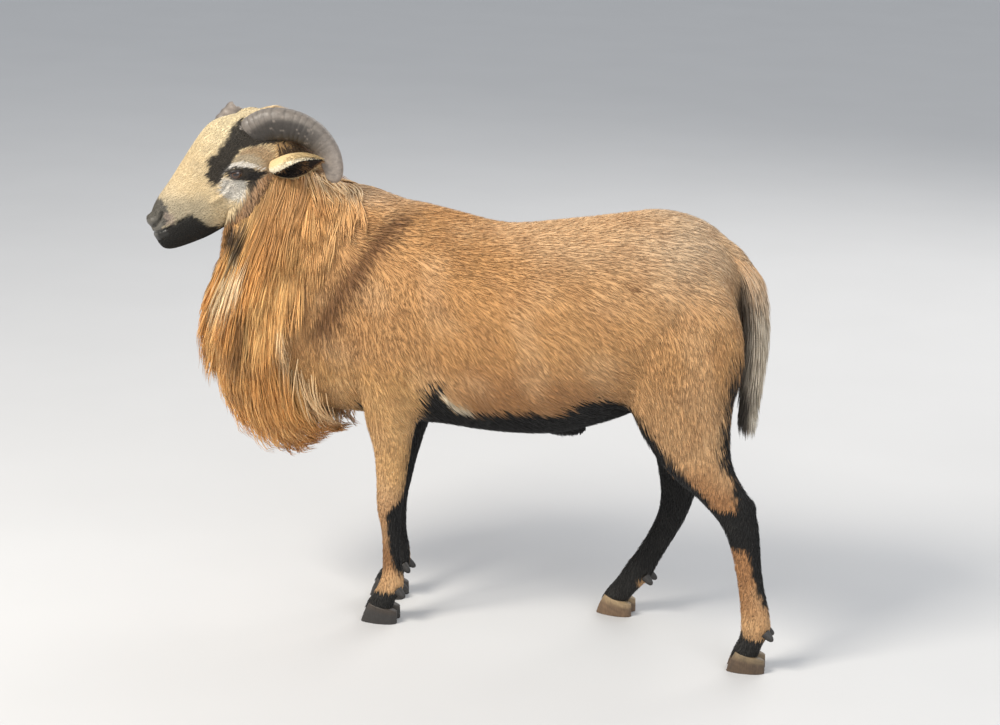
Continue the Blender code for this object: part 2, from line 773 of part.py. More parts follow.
def horn_right(name):
    """The right horn is a broken stump: a short core with a hollow, ragged end."""
    start = head_point(0.066, 0.076, -0.034)
    end = head_point(0.029, 0.090, -0.053)
    way = (end - start) / np.linalg.norm(end - start)
    side = np.cross(way, HEAD_UP)
    side /= np.linalg.norm(side)
    front = np.cross(side, way)
    angle = np.linspace(0, 2 * np.pi, 12, endpoint=False)
    ragged = 0.003 * np.sin(3 * angle + 1.0) + 0.0015 * np.sin(5 * angle)
    levels = (
        (0.0, 0.0230, 0.0), (0.35, 0.0215, 0.0), (0.7, 0.0185, 0.3), (1.0, 0.0150, 1.0),
        (0.97, 0.0105, 1.0), (0.72, 0.0065, 0.3),
    )
    length = np.linalg.norm(end - start)
    rings = []
    for level, radius, wobble in levels:
        ring = (
            start
            + (level * length + ragged * wobble)[:, None] * way
            + (radius * np.cos(angle))[:, None] * front
            + (radius * 0.8 * np.sin(angle))[:, None] * side
        )
        rings.append(ring)
    return mesh_object(name, MODEL, lambda shape: skin_over(shape, rings))


# Ears: held back and low, the cup turned forward and down

def ear(name, side):
    """A leaf that is rolled to a tube at its root and opens to a cup."""
    root = head_point(0.028, 0.004, 0.046 * side)
    tip = head_point(-0.012, -0.018, 0.088 * side)
    way = (tip - root) / np.linalg.norm(tip - root)
    back = HEAD_UP * 0.80 - HEAD_LEFT * 0.50 * side
    back = back - (back @ way) * way
    back /= np.linalg.norm(back)
    edge = np.cross(way, back)
    steps, turns = 9, 6
    part = np.linspace(0, 1, steps)
    width = (EAR_WIDTH / 2) * np.clip(np.sin(np.pi * (0.20 + 0.80 * part) ** 1.25), 0.05, 1) ** 0.75
    curl = np.radians(150 - 85 * part)
    swing = np.linspace(-1, 1, turns)
    bend = 0.012 * np.sin(np.pi * part * 0.9)

    def fill(shape):
        rows = []
        for k in range(steps):
            angle = curl[k] * swing
            radius = width[k] / math.sin(min(curl[k], math.pi / 2))
            lift = radius * (np.cos(angle) - 1)
            across = radius * np.sin(angle)
            middle = root + way * EAR_LENGTH * part[k] + back * bend[k]
            ring = middle + lift[:, None] * back + across[:, None] * edge
            rows.append([shape.verts.new(point) for point in ring])
        for first, second in zip(rows, rows[1:]):
            for i in range(turns - 1):
                shape.faces.new((first[i], first[i + 1], second[i + 1]))
                shape.faces.new((first[i], second[i + 1], second[i]))
    leaf = mesh_object(name, MODEL, fill)
    wall = leaf.modifiers.new("Wall", "SOLIDIFY")
    wall.thickness = EAR_WALL
    wall.offset = 0.0
    settle(leaf)
    tidy_mesh(leaf)
    return leaf


# Locks of hair

def lock_rings(path, outward, width, thickness):
    """Rings of a flat tapered lock along a path; its tip is drawn to a point."""
    count = len(path)
    along = np.gradient(path, axis=0)
    along /= np.linalg.norm(along, axis=1, keepdims=True)
    side = np.cross(along, outward)
    side /= np.linalg.norm(side, axis=1, keepdims=True)
    lift = np.cross(side, along)
    part = np.linspace(0, 1, count)
    swell = (0.62 + 0.38 * np.sin(np.pi * np.clip(part * 1.5, 0, 1) ** 0.8)) * (1 - part ** 3.0)
    half = (width / 2 * swell)[:, None]
    thick = (thickness / 2 * (1 - 0.75 * part))[:, None]
    corners = [path + side * half, path + lift * thick, path - side * half, path - lift * thick]
    return np.stack(corners, axis=1)


def add_lock(shape, rings):
    """A closed lock: a cap at its root and a point at its tip."""
    loops = [[shape.verts.new(point) for point in ring] for ring in rings[:-1]]
    tip = shape.verts.new(rings[-1].mean(axis=0))
    for first, second in zip(loops, loops[1:]):
        for i in range(4):
            j = (i + 1) % 4
            shape.faces.new((first[i], first[j], second[j], second[i]))
    for i in range(4):
        shape.faces.new((loops[-1][i], loops[-1][(i + 1) % 4], tip))
    shape.faces.new(loops[0])


# Rows of the mane: degrees down from the crest, locks in the row, first and last place
# along the neck, and how many degrees each lock turns down to its tip

MANE_ROWS = (
    (20, 4, 0.05, 0.66, 28),
    (44, 4, 0.02, 0.66, 34),
    (68, 4, 0.05, 0.68, 36),
    (92, 5, 0.02, 0.74, 36),
    (114, 5, 0.05, 0.80, 34),
    (134, 6, 0.02, 0.82, 28),
    (150, 6, 0.06, 0.82, 20),
    (165, 6, 0.10, 0.80, 10),
)


def mane_locks(draw):
    """Places of the locks: along the neck, round it, turn downwards, drift back, size."""
    locks = []
    for row, (start, count, first, last, fall) in enumerate(MANE_ROWS):
        for side in (1, -1):
            for step in range(count):
                place = (step + (0.75 if row % 2 else 0.25) + draw.uniform(-0.12, 0.12)) / count
                angle = math.radians(start + draw.uniform(-4, 4))
                turn = math.radians(fall * draw.uniform(0.85, 1.15))
                along = first + (last - first) * place
                locks.append((along, side * angle, side * turn, MANE_DRIFT, draw.uniform(0.90, 1.08)))
    for step in range(6):
        locks.append((0.06 + 0.13 * step, math.pi, 0.0, 0.11, draw.uniform(0.98, 1.08)))
    for step in range(4):
        locks.append((0.06 + 0.14 * step, 0.0, 0.0, 0.17, draw.uniform(0.9, 1.1)))
    return locks


def mane_path(along, angle, turn, drift, size):
    """Middle line of one lock of the mane, and the way that its outer face looks."""
    part = np.linspace(0, 1, 5)
    way_along = np.clip(along + drift * part ** 1.1, 0, 1)
    way_round = angle + turn * part
    flesh = neck_point(way_along, way_round, np.zeros(5))
    depth = neck_point(way_along, way_round, np.ones(5)) - flesh
    reach = np.linalg.norm(depth, axis=1)
    root = core_share(along) - MANE_ROOT_DEPTH / reach[0]
    height = root + (0.97 * size - root) * (1 - (1 - part) ** 2.0)
    path = flesh + height[:, None] * depth
    return path, depth / reach[:, None]


# The model is put together

clear_scene()
MODEL = new_collection("cameroon_ram")
CUTTERS = new_collection("cutters")
LOCKS = new_collection("locks")


def make_mane(neck):
    """Fuses the locks to the flesh of the neck."""
    draw = random.Random(SEED)
    for number, lock in enumerate(mane_locks(draw)):
        path, outward = mane_path(*lock)
        width = MANE_LOCK_WIDTH * draw.uniform(0.85, 1.15)
        rings = lock_rings(path, outward, width, MANE_LOCK_THICKNESS)
        mesh_object("lock_%d" % number, LOCKS, lambda shape: add_lock(shape, rings))
    boolean(neck, LOCKS, "UNION")
    for lock in list(LOCKS.objects):
        drop(lock)


def part_of(source, name, cells):
    """What a copy of the body has inside all the given cells."""
    piece = copy_object(source, name, MODEL)
    for cell in cells:
        boolean(piece, cell, "INTERSECT")
    keep_largest(piece)
    return piece


def cut_away(piece, cutters, solver="EXACT"):
    """Cuts a piece with each cutter in turn and keeps its largest surface."""
    for cutter in cutters:
        boolean(piece, cutter, "DIFFERENCE", solver)
    keep_largest(piece)


def mouth_groove(head):
    """A cutter that runs round the muzzle between the lips."""
    shape = bmesh.new()
    shape.from_mesh(head.data)
    surface = BVHTree.FromBMesh(shape)
    shape.free()
    swing = np.linspace(-1, 1, 25)
    forward = 0.184 + 0.062 * np.cos(swing * math.pi / 2) ** 0.7
    up = 0.013 + 0.006 * np.cos(swing * math.pi / 2)
    left = 0.033 * np.sin(swing * math.pi / 2)
    path = np.array([surface.find_nearest(Vector(p))[0] for p in head_point(forward, up, left)])
    along = np.gradient(path, axis=0)
    along /= np.linalg.norm(along, axis=1, keepdims=True)
    outward = np.cross(along, HEAD_UP)
    outward /= np.linalg.norm(outward, axis=1, keepdims=True)
    upward = np.cross(outward, along)
    radius = 0.0022 * np.clip(1.15 - np.abs(swing) ** 6, 0.2, 1.0)[:, None, None]
    angle = np.linspace(0, 2 * np.pi, 5, endpoint=False)[None, :, None]
    rings = path[:, None] + radius * (
        np.cos(angle) * 1.5 * outward[:, None] + np.sin(angle) * 0.8 * upward[:, None]
    )
    return mesh_object("mouth_groove", CUTTERS, lambda shape: skin_over(shape, rings))


def nostril(side):
    """A cutter for the slanting comma of a nostril."""
    way = (HEAD_FORWARD * 0.55 + HEAD_UP * 0.80) / math.hypot(0.55, 0.80)
    inward = HEAD_LEFT * side
    flat = np.cross(way, inward)
    place = head_point(0.226, 0.032, 0.021 * side)
    axes = (way, flat, inward)
    return mesh_object(
        "nostril", CUTTERS,
        lambda shape: add_blob(shape, place, (0.0085, 0.0036, 0.0085), axes, 2),
    )


def eye_opening(side):
    """A cutter shaped like the slit between the lids, pointed at its corners."""
    angle = np.linspace(0, 2 * np.pi, 16, endpoint=False)
    long = EYE_OPENING[0] / 2 * np.cos(angle)
    tall = EYE_OPENING[1] / 2 * np.sin(angle) * np.abs(np.sin(angle)) ** 0.4
    forward = EYE[0] + 0.002 + long * math.cos(EYE_SLANT) - tall * math.sin(EYE_SLANT)
    up = EYE[1] - 0.001 + long * math.sin(EYE_SLANT) + tall * math.cos(EYE_SLANT)
    near, far = EYE[2] + 0.003, EYE[2] + 0.030
    rings = [head_point(forward, up, np.full(16, depth * side)) for depth in (near, far)]
    return mesh_object("eye_opening", CUTTERS, lambda shape: skin_over(shape, rings))


def eyeball(name, place):
    """An eyeball."""
    def fill(shape):
        bmesh.ops.create_uvsphere(
            shape, u_segments=12, v_segments=8, radius=EYEBALL_RADIUS,
            matrix=Matrix.Translation(place),
        )
    eye = mesh_object(name, MODEL, fill)
    tidy_mesh(eye)
    return eye


def tail_locks(draw):
    """Hair down the tail, its root on the core and its tip drawn past the core's end."""
    for level in range(3):
        for step in range(4):
            turn = math.pi / 2 * (step + (0.5 if level % 2 else 0.0)) + draw.uniform(-0.2, 0.2)
            place = 2.0 + 1.25 * level
            part = np.linspace(0, 1, 5)
            core = smooth_rows(TAIL_CORE, np.clip(place + part * TAIL_LOCK_ROWS, 0, 6))
            past = np.clip(place + part * TAIL_LOCK_ROWS - 6, 0, None)
            depth_reach = core[:, 3] * 0.6 + TAIL_LOCK_LIFT * part ** 0.8
            width_reach = core[:, 4] * 0.6 + TAIL_LOCK_LIFT * part ** 0.8
            path = np.stack([
                core[:, 0] + depth_reach * math.cos(turn),
                width_reach * math.sin(turn),
                core[:, 2] - past * 0.055 - 0.004 * part,
            ], axis=-1)
            outward = np.tile([math.cos(turn), math.sin(turn), 0.0], (5, 1))
            width = TAIL_LOCK_WIDTH * draw.uniform(0.9, 1.2)
            rings = lock_rings(path, outward, width, TAIL_LOCK_THICKNESS)
            mesh_object("lock", LOCKS, lambda shape: add_lock(shape, rings))


# Flesh

whole = fused_body()
for_head = thinned(whole, "for_head", HEAD_TRIANGLES)
for_legs = thinned(whole, "for_legs", LEG_TRIANGLES)
for_torso = thinned(whole, "for_torso", TORSO_TRIANGLES)
drop(whole)

head_side = slab("head_side", HEAD_CUT_PLACE, -HEAD_CUT_NORMAL, 0.6)
torso_side = slab("torso_side", NECK_CUT_PLACE, -NECK_CUT_NORMAL, 1.2)
head = part_of(for_head, "head", [head_side])
torso = part_of(for_torso, "torso", [torso_side])
legs = {}
for leg_name in LEGS:
    legs[leg_name] = part_of(for_legs, leg_name, [leg_cell(leg_name, 0.0)])
    cut_away(torso, [leg_cell(leg_name, GAP)])
    cut_away(legs[leg_name], [hoof_cutter(leg_name)])

# Neck, with its mane, cut clear of what it lies against

under_head = slab("under_head", HEAD_CUT_PLACE + PLANE_OVERLAP * HEAD_CUT_NORMAL, HEAD_CUT_NORMAL, 0.8)
before_torso = slab("before_torso", NECK_CUT_PLACE + PLANE_OVERLAP * NECK_CUT_NORMAL, NECK_CUT_NORMAL, 0.8)
neck = part_of(for_torso, "neck", [under_head, before_torso])
make_mane(neck)
neighbours = [grown_copy(head, CUT_GAP, CUTTERS), grown_copy(torso, CUT_GAP, CUTTERS)]
neighbours += [grown_copy(legs[name], CUT_GAP, CUTTERS) for name in ("foreleg_left", "foreleg_right")]

# Horns, ears and eyes, each in a socket of the head

sockets = []
for side_name, side in HORN_SIDES.items():
    horn = horn_left if side_name == "left" else horn_right
    horn_piece = horn("horn_" + side_name)
    tidy_mesh(horn_piece)
    colour(horn_piece, "horn " + side_name, HORN_GREY, 0.6)
    ear_piece = ear("ear_" + side_name, side)
    colour(ear_piece, "ear hair " + side_name, CREAM, 0.9)
    sockets += [grown_copy(horn_piece, CUT_GAP, CUTTERS), grown_copy(ear_piece, CUT_GAP, CUTTERS)]
    eye = eyeball("eye_" + side_name, head_point(EYE[0], EYE[1], EYE[2] * side))
    colour(eye, "eye " + side_name, EYE_BROWN, 0.1)
    cut_away(head, [eye_opening(side), grown_copy(eye, CUT_GAP, CUTTERS)])
    cut_away(head, [nostril(side)])
cut_away(head, [mouth_groove(head)])
cut_away(head, sockets)
cut_away(neck, neighbours + sockets, "MANIFOLD")

# Tail

tail = mesh_object("tail", MODEL, lambda shape: add_tube(shape, TAIL_CORE, 14, 12))
tail_locks(random.Random(SEED + 1))
boolean(tail, LOCKS, "UNION")
for lock in list(LOCKS.objects):
    drop(lock)
keep_largest(tail)
tidy_mesh(tail)
cut_away(torso, [grown_copy(tail, CUT_GAP, CUTTERS)])

# Hooves and dewclaws

for leg_name, leg in legs.items():
    for side_name, side in (("outer", 1), ("inner", -1)):
        away = side if leg_name.endswith("left") else -side
        claw_piece = claw("%s_claw_%s" % (leg_name, side_name), leg_name, away)
        tone = HOOF_TAN if leg_name.startswith("hind") else HOOF_GREY
        colour(claw_piece, "hoof horn " + claw_piece.name, tone, 0.5)
        dew_piece = dewclaw("%s_dewclaw_%s" % (leg_name, side_name), leg_name, away)
        colour(dew_piece, "dewclaw horn " + dew_piece.name, HOOF_GREY, 0.5)
        cut_away(leg, [grown_copy(dew_piece, CUT_GAP, CUTTERS)])

# Finish

colour(head, "face hair", CREAM, 0.9)
colour(neck, "mane hair", GOLDEN, 0.9)
colour(torso, "body hair", TAN, 0.9)
colour(tail, "tail hair", TAIL_BUFF, 0.9)
for leg_name, leg in legs.items():
    colour(leg, "leg hair " + leg_name, BLACK_HAIR if leg_name.endswith("right") else TAN, 0.9)
for piece in [head, neck, torso] + list(legs.values()):
    tidy_mesh(piece)
for cutter in list(CUTTERS.objects):
    drop(cutter)

# The origin goes to the floor, under the middle of the model

corners = np.array([vertex.co for piece in MODEL.objects for vertex in piece.data.vertices])
low, high = corners.min(axis=0), corners.max(axis=0)
stand_frame = bpy.data.objects.new("stand_frame", None)
MODEL.objects.link(stand_frame)
stand_frame.location = (-(low[0] + high[0]) / 2, -(low[1] + high[1]) / 2, -low[2])
for piece in list(MODEL.objects):
    if piece is not stand_frame:
        piece.parent = stand_frame
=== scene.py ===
"""The looks of a still, life-size Cameroon ram in mid-walk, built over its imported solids.

Everything is in metres. Shapes are worked out in the ram's own frame, where the head
points to -X and the floor is at 0. A small shift takes them to the frame of the solids.
"""

import math

import bpy
import numpy as np
from mathutils import Matrix, Vector
from mathutils.bvhtree import BVHTree


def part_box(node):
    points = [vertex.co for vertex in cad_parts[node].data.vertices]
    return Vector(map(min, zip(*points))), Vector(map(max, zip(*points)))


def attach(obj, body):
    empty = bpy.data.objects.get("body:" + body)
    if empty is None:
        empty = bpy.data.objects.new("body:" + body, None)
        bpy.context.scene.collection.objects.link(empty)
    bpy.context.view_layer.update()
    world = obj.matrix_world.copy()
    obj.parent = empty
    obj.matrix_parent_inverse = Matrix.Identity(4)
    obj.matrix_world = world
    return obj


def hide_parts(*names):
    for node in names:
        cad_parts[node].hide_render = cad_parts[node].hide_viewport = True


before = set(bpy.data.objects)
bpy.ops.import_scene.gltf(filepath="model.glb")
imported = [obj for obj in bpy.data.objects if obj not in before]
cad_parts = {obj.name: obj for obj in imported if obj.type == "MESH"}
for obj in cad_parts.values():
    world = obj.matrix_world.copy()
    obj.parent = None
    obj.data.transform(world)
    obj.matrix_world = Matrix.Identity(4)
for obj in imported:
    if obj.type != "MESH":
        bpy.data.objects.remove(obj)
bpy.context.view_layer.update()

# Head and neck frame
# The head is turned a little to the left and tipped down. Places on it are given
# forward along the face, up through the forehead, and out to the animal's left.

HEAD_PLACE = np.array([-0.430, -0.015, 0.735])
HEAD_TURN = math.radians(25)
HEAD_TIP = math.radians(35)
HEAD_FORWARD = np.array([
    -math.cos(HEAD_TURN) * math.cos(HEAD_TIP),
    -math.sin(HEAD_TURN) * math.cos(HEAD_TIP),
    -math.sin(HEAD_TIP),
])
HEAD_UP = np.array([
    -math.cos(HEAD_TURN) * math.sin(HEAD_TIP),
    -math.sin(HEAD_TURN) * math.sin(HEAD_TIP),
    math.cos(HEAD_TIP),
])
HEAD_LEFT = np.array([math.sin(HEAD_TURN), -math.cos(HEAD_TURN), 0.0])
HEAD_AXES = np.array([HEAD_FORWARD, HEAD_UP, HEAD_LEFT])
EYE = np.array([0.0865, 0.0285, 0.0415])
EYEBALL_RADIUS = 0.0135


def moved(place, *steps):
    """A place moved by steps; each step is a distance, or many, and the way it goes."""
    for distance, way in steps:
        place = place + np.asarray(distance)[..., None] * way
    return place


def head_point(forward, up, left):
    """World place of a point in the head's frame."""
    return moved(HEAD_PLACE, (forward, HEAD_FORWARD), (up, HEAD_UP), (left, HEAD_LEFT))


def on_side(place, side):
    """The same place on the left (1) or the right (-1) of the head, as a world point."""
    return head_point(place[0], place[1], place[2] * side)


eye_low, eye_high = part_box("eye_left")
SHIFT = np.array((eye_low + eye_high) / 2) - on_side(EYE, 1)

# Flesh
# What the hide is stretched over. Each part is a row of rings, read from a table of sizes
# on a smooth curve. Trunk, neck, legs and tail are fused into one surface, and the skull
# with its own forms into another.


def smooth_rows(rows, places):
    """Reads a table at fractional rows, on a cubic curve that passes through each row."""
    rows = np.asarray(rows, float)
    places = np.atleast_1d(np.asarray(places, float))
    low = np.clip(places.astype(int), 0, len(rows) - 2)
    part = (places - low)[:, None]
    slope = np.gradient(rows, axis=0)
    start, end = rows[low], rows[low + 1]
    return (
        (1 + 2 * part) * (1 - part) ** 2 * start
        + part * (1 - part) ** 2 * slope[low]
        + part * part * (3 - 2 * part) * end
        + part * part * (part - 1) * slope[low + 1]
    )


def round_point(angle, top_power, bottom_power):
    """Across and up on a unit superellipse, its angle measured from the top."""
    sine, cosine = np.sin(angle), np.cos(angle)
    power = np.where(cosine >= 0, 2 / top_power, 2 / bottom_power)
    across = np.sign(sine) * np.abs(sine) ** power
    upward = np.sign(cosine) * np.abs(cosine) ** power
    return across, upward


def unit(rows):
    """Each row divided by its own length."""
    return rows / np.maximum(np.linalg.norm(rows, axis=-1, keepdims=True), 1e-12)


def ease(low, high, value):
    """0 below low, 1 above high, and a smooth step between them."""
    part = np.clip((value - low) / (high - low), 0, 1)
    return part * part * (3 - 2 * part)


def closed_tube(rings):
    """Points, quads and triangles of a tube whose ends are closed by a fan to their middle."""
    rows, columns = rings.shape[:2]
    index = np.arange(rows * columns).reshape(rows, columns)
    turn = np.roll(index, -1, axis=1)
    quads = np.stack([index[:-1], turn[:-1], turn[1:], index[1:]], axis=-1).reshape(-1, 4)
    first, last = np.full(columns, rows * columns), np.full(columns, rows * columns + 1)
    fans = np.concatenate([
        np.stack([first, turn[0], index[0]], axis=-1),
        np.stack([last, index[-1], turn[-1]], axis=-1),
    ])
    points = np.concatenate([
        rings.reshape(-1, 3), rings[0].mean(axis=0)[None], rings[-1].mean(axis=0)[None],
    ])
    corner = [points[quads[:, k]] for k in range(3)]
    volume = np.einsum("ij,ij->", corner[0], np.cross(corner[1], corner[2]))
    if volume < 0:
        quads, fans = quads[:, ::-1], fans[:, ::-1]
    return points, quads, fans


def joined(shapes):
    """Several shapes as one: the numbers in their faces are moved on by the points before them."""
    points, quads, fans, start = [], [], [], 0
    for shape_points, shape_quads, shape_fans in shapes:
        points.append(shape_points)
        quads.append(shape_quads + start)
        fans.append(shape_fans + start)
        start += len(shape_points)
    return np.concatenate(points), np.concatenate(quads), np.concatenate(fans)


def new_mesh(name, points, face_sets):
    """A mesh from an array of points and arrays of faces of 3 or 4 corners."""
    mesh = bpy.data.meshes.new(name)
    mesh.vertices.add(len(points))
    mesh.vertices.foreach_set("co", np.asarray(points, np.float32).ravel())
    face_sets = [np.asarray(faces, np.int32) for faces in face_sets if len(faces)]
    sides = np.concatenate([np.full(len(faces), faces.shape[1]) for faces in face_sets])
    mesh.loops.add(int(sides.sum()))
    corners = np.concatenate([faces.ravel() for faces in face_sets])
    mesh.loops.foreach_set("vertex_index", corners)
    mesh.polygons.add(len(sides))
    mesh.polygons.foreach_set("loop_start", np.concatenate([[0], np.cumsum(sides)[:-1]]))
    mesh.polygons.foreach_set("use_smooth", np.ones(len(sides), bool))
    mesh.update(calc_edges=True)
    return mesh


def blob(place, radii, axes=HEAD_AXES):
    """An ellipsoid: rings about its third axis, with a radius along each axis."""
    rise = np.linspace(-1.47, 1.47, 13)[:, None]
    around = np.linspace(0, 2 * np.pi, 20, endpoint=False)[None, :]
    ball = np.stack(np.broadcast_arrays(
        np.cos(rise) * np.cos(around), np.cos(rise) * np.sin(around), np.sin(rise),
    ), axis=-1)
    return closed_tube(place + (ball * np.asarray(radii)) @ np.asarray(axes))


# Rows of the trunk: place along it, top, bottom, half width, height of the widest place.
TORSO = (
    (-0.350, 0.560, 0.400, 0.060, 0.48),
    (-0.325, 0.620, 0.345, 0.100, 0.48),
    (-0.285, 0.660, 0.322, 0.122, 0.48),
    (-0.240, 0.668, 0.318, 0.135, 0.48),
    (-0.170, 0.656, 0.320, 0.145, 0.47),
    (-0.090, 0.643, 0.317, 0.158, 0.46),
    (0.000, 0.655, 0.322, 0.165, 0.46),
    (0.080, 0.669, 0.344, 0.160, 0.48),
    (0.140, 0.680, 0.372, 0.148, 0.50),
    (0.195, 0.674, 0.405, 0.135, 0.52),
    (0.235, 0.655, 0.430, 0.115, 0.54),
    (0.262, 0.628, 0.455, 0.088, 0.55),
    (0.280, 0.585, 0.500, 0.045, 0.54),
)
# Rows of the neck: place and height of the crest, place and height of the throat, how far
# the middle lies to the side, half width. The first table is flesh, the second hair tips.
NECK_CORE = (
    (-0.478, 0.772, -0.520, 0.610, -0.036, 0.054),
    (-0.432, 0.742, -0.516, 0.555, -0.027, 0.062),
    (-0.392, 0.712, -0.506, 0.490, -0.015, 0.074),
    (-0.352, 0.690, -0.480, 0.425, -0.006, 0.090),
    (-0.300, 0.680, -0.430, 0.365, 0.000, 0.106),
    (-0.245, 0.668, -0.350, 0.328, 0.000, 0.120),
    (-0.190, 0.655, -0.270, 0.325, 0.000, 0.130),
)
MANE_TIPS = (
    (-0.474, 0.778, -0.534, 0.592, -0.038, 0.066),
    (-0.428, 0.752, -0.575, 0.490, -0.028, 0.086),
    (-0.388, 0.722, -0.594, 0.385, -0.016, 0.108),
    (-0.348, 0.700, -0.555, 0.292, -0.007, 0.128),
    (-0.300, 0.690, -0.462, 0.240, 0.000, 0.142),
    (-0.245, 0.680, -0.372, 0.268, 0.000, 0.150),
    (-0.190, 0.668, -0.285, 0.300, 0.000, 0.156),
)
# Rows of the head, along the face from the nape: the same sizes as for the trunk.
HEAD = (
    (-0.030, 0.050, -0.040, 0.030, 0.010),
    (-0.016, 0.070, -0.055, 0.046, 0.015),
    (0.010, 0.083, -0.062, 0.053, 0.018),
    (0.040, 0.096, -0.062, 0.054, 0.025),
    (0.068, 0.105, -0.056, 0.053, 0.030),
    (0.092, 0.102, -0.048, 0.051, 0.028),
    (0.120, 0.092, -0.043, 0.045, 0.020),
    (0.150, 0.080, -0.040, 0.038, 0.014),
    (0.180, 0.068, -0.037, 0.032, 0.011),
    (0.205, 0.059, -0.031, 0.030, 0.010),
    (0.225, 0.048, -0.025, 0.028, 0.009),
    (0.240, 0.032, -0.018, 0.021, 0.006),
    (0.247, 0.014, -0.008, 0.009, 0.003),
)
# Rows of a limb: place along, side and height of its middle line, half depth, half width.
FORELEG_LEFT = (
    (-0.232, -0.080, 0.545, 0.075, 0.040),
    (-0.236, -0.088, 0.480, 0.076, 0.046),
    (-0.241, -0.089, 0.430, 0.068, 0.044),
    (-0.243, -0.085, 0.370, 0.050, 0.038),
    (-0.244, -0.080, 0.330, 0.041, 0.033),
    (-0.243, -0.075, 0.285, 0.030, 0.027),
    (-0.245, -0.071, 0.240, 0.025, 0.023),
    (-0.248, -0.068, 0.200, 0.022, 0.022),
    (-0.248, -0.067, 0.180, 0.0195, 0.021),
    (-0.2455, -0.066, 0.150, 0.0165, 0.0160),
    (-0.2445, -0.065, 0.110, 0.0155, 0.0145),
    (-0.242, -0.064, 0.080, 0.0185, 0.018),
    (-0.244, -0.064, 0.062, 0.0205, 0.021),
    (-0.254, -0.063, 0.043, 0.0190, 0.020),
    (-0.263, -0.062, 0.024, 0.0220, 0.023),
    (-0.270, -0.062, 0.008, 0.0220, 0.023),
)
# The right foreleg has the same heights and thickness, and stands a little further forward.
FORELEG_RIGHT = np.array(FORELEG_LEFT)
FORELEG_RIGHT[:, 0] = (
    -0.232, -0.236, -0.241, -0.246, -0.250, -0.256, -0.263, -0.268,
    -0.2695, -0.2695, -0.267, -0.264, -0.265, -0.273, -0.281, -0.287,
)
FORELEG_RIGHT[:, 1] = (
    0.080, 0.088, 0.089, 0.085, 0.080, 0.074, 0.067, 0.062,
    0.060, 0.058, 0.056, 0.054, 0.053, 0.052, 0.051, 0.050,
)
HINDLEG_LEFT = (
    (0.172, -0.048, 0.640, 0.030, 0.018),
    (0.184, -0.064, 0.605, 0.062, 0.034),
    (0.198, -0.082, 0.545, 0.086, 0.048),
    (0.205, -0.090, 0.500, 0.095, 0.055),
    (0.206, -0.093, 0.455, 0.096, 0.056),
    (0.211, -0.094, 0.405, 0.083, 0.050),
    (0.224, -0.096, 0.360, 0.068, 0.044),
    (0.243, -0.098, 0.320, 0.052, 0.036),
    (0.268, -0.101, 0.285, 0.036, 0.028),
    (0.298, -0.103, 0.247, 0.031, 0.021),
    (0.312, -0.104, 0.213, 0.0265, 0.0185),
    (0.321, -0.105, 0.170, 0.0220, 0.0155),
    (0.329, -0.106, 0.127, 0.0215, 0.0150),
    (0.335, -0.106, 0.098, 0.0230, 0.0170),
    (0.338, -0.106, 0.070, 0.0240, 0.0210),
    (0.332, -0.105, 0.046, 0.0200, 0.0195),
    (0.324, -0.105, 0.024, 0.0210, 0.0215),
    (0.319, -0.105, 0.008, 0.0210, 0.0215),
)
HINDLEG_RIGHT = (
    (0.172, 0.048, 0.640, 0.030, 0.018),
    (0.184, 0.064, 0.605, 0.062, 0.034),
    (0.196, 0.082, 0.545, 0.086, 0.048),
    (0.200, 0.090, 0.500, 0.094, 0.055),
    (0.200, 0.093, 0.455, 0.092, 0.056),
    (0.195, 0.093, 0.405, 0.080, 0.050),
    (0.188, 0.092, 0.355, 0.068, 0.044),
    (0.181, 0.090, 0.305, 0.050, 0.036),
    (0.180, 0.088, 0.250, 0.033, 0.027),
    (0.182, 0.086, 0.210, 0.0290, 0.021),
    (0.174, 0.085, 0.170, 0.0240, 0.0175),
    (0.156, 0.084, 0.130, 0.0215, 0.0155),
    (0.139, 0.083, 0.098, 0.0215, 0.0155),
    (0.125, 0.082, 0.073, 0.0235, 0.0195),
    (0.106, 0.081, 0.047, 0.0200, 0.0200),
    (0.090, 0.080, 0.024, 0.0210, 0.0215),
    (0.082, 0.080, 0.008, 0.0210, 0.0215),
)
LEGS = {
    "foreleg_left": np.array(FORELEG_LEFT),
    "foreleg_right": FORELEG_RIGHT,
    "hindleg_left": np.array(HINDLEG_LEFT),
    "hindleg_right": np.array(HINDLEG_RIGHT),
}
TAIL_CORE = (
    (0.235, 0.0, 0.632, 0.020, 0.022),
    (0.262, 0.0, 0.614, 0.021, 0.022),
    (0.287, 0.0, 0.583, 0.018, 0.019),
    (0.299, 0.0, 0.540, 0.015, 0.016),
    (0.303, 0.0, 0.490, 0.013, 0.014),
    (0.301, 0.0, 0.430, 0.011, 0.012),
    (0.298, 0.0, 0.375, 0.007, 0.009),
)
# Share of the mane's depth that dense under-hair fills on the neck.
MANE_CORE = 0.40


def upright_rings(table, count, sides, top_power, bottom_power):
    """Rings of trunk or skull: how far along, across and up each of their points lies."""
    rows = smooth_rows(table, np.linspace(0, len(table) - 1, count))
    across, upward = round_point(
        np.linspace(0, 2 * np.pi, sides, endpoint=False), top_power, bottom_power,
    )
    along, top, bottom, wide, middle = (column[:, None] for column in rows.T)
    reach = np.where(upward >= 0, top - middle, middle - bottom)
    return np.broadcast_arrays(along, wide * across, middle + reach * upward)


def torso_shape():
    """The trunk, its rings square to its length."""
    along, across, up = upright_rings(TORSO, 60, 56, 2.0, 2.2)
    return closed_tube(np.stack([along, across, up], axis=-1))


def skull_shape():
    """Skull and muzzle, their rings square to the face."""
    along, across, up = upright_rings(HEAD, 60, 48, 2.5, 1.9)
    return closed_tube(head_point(along, up, across))


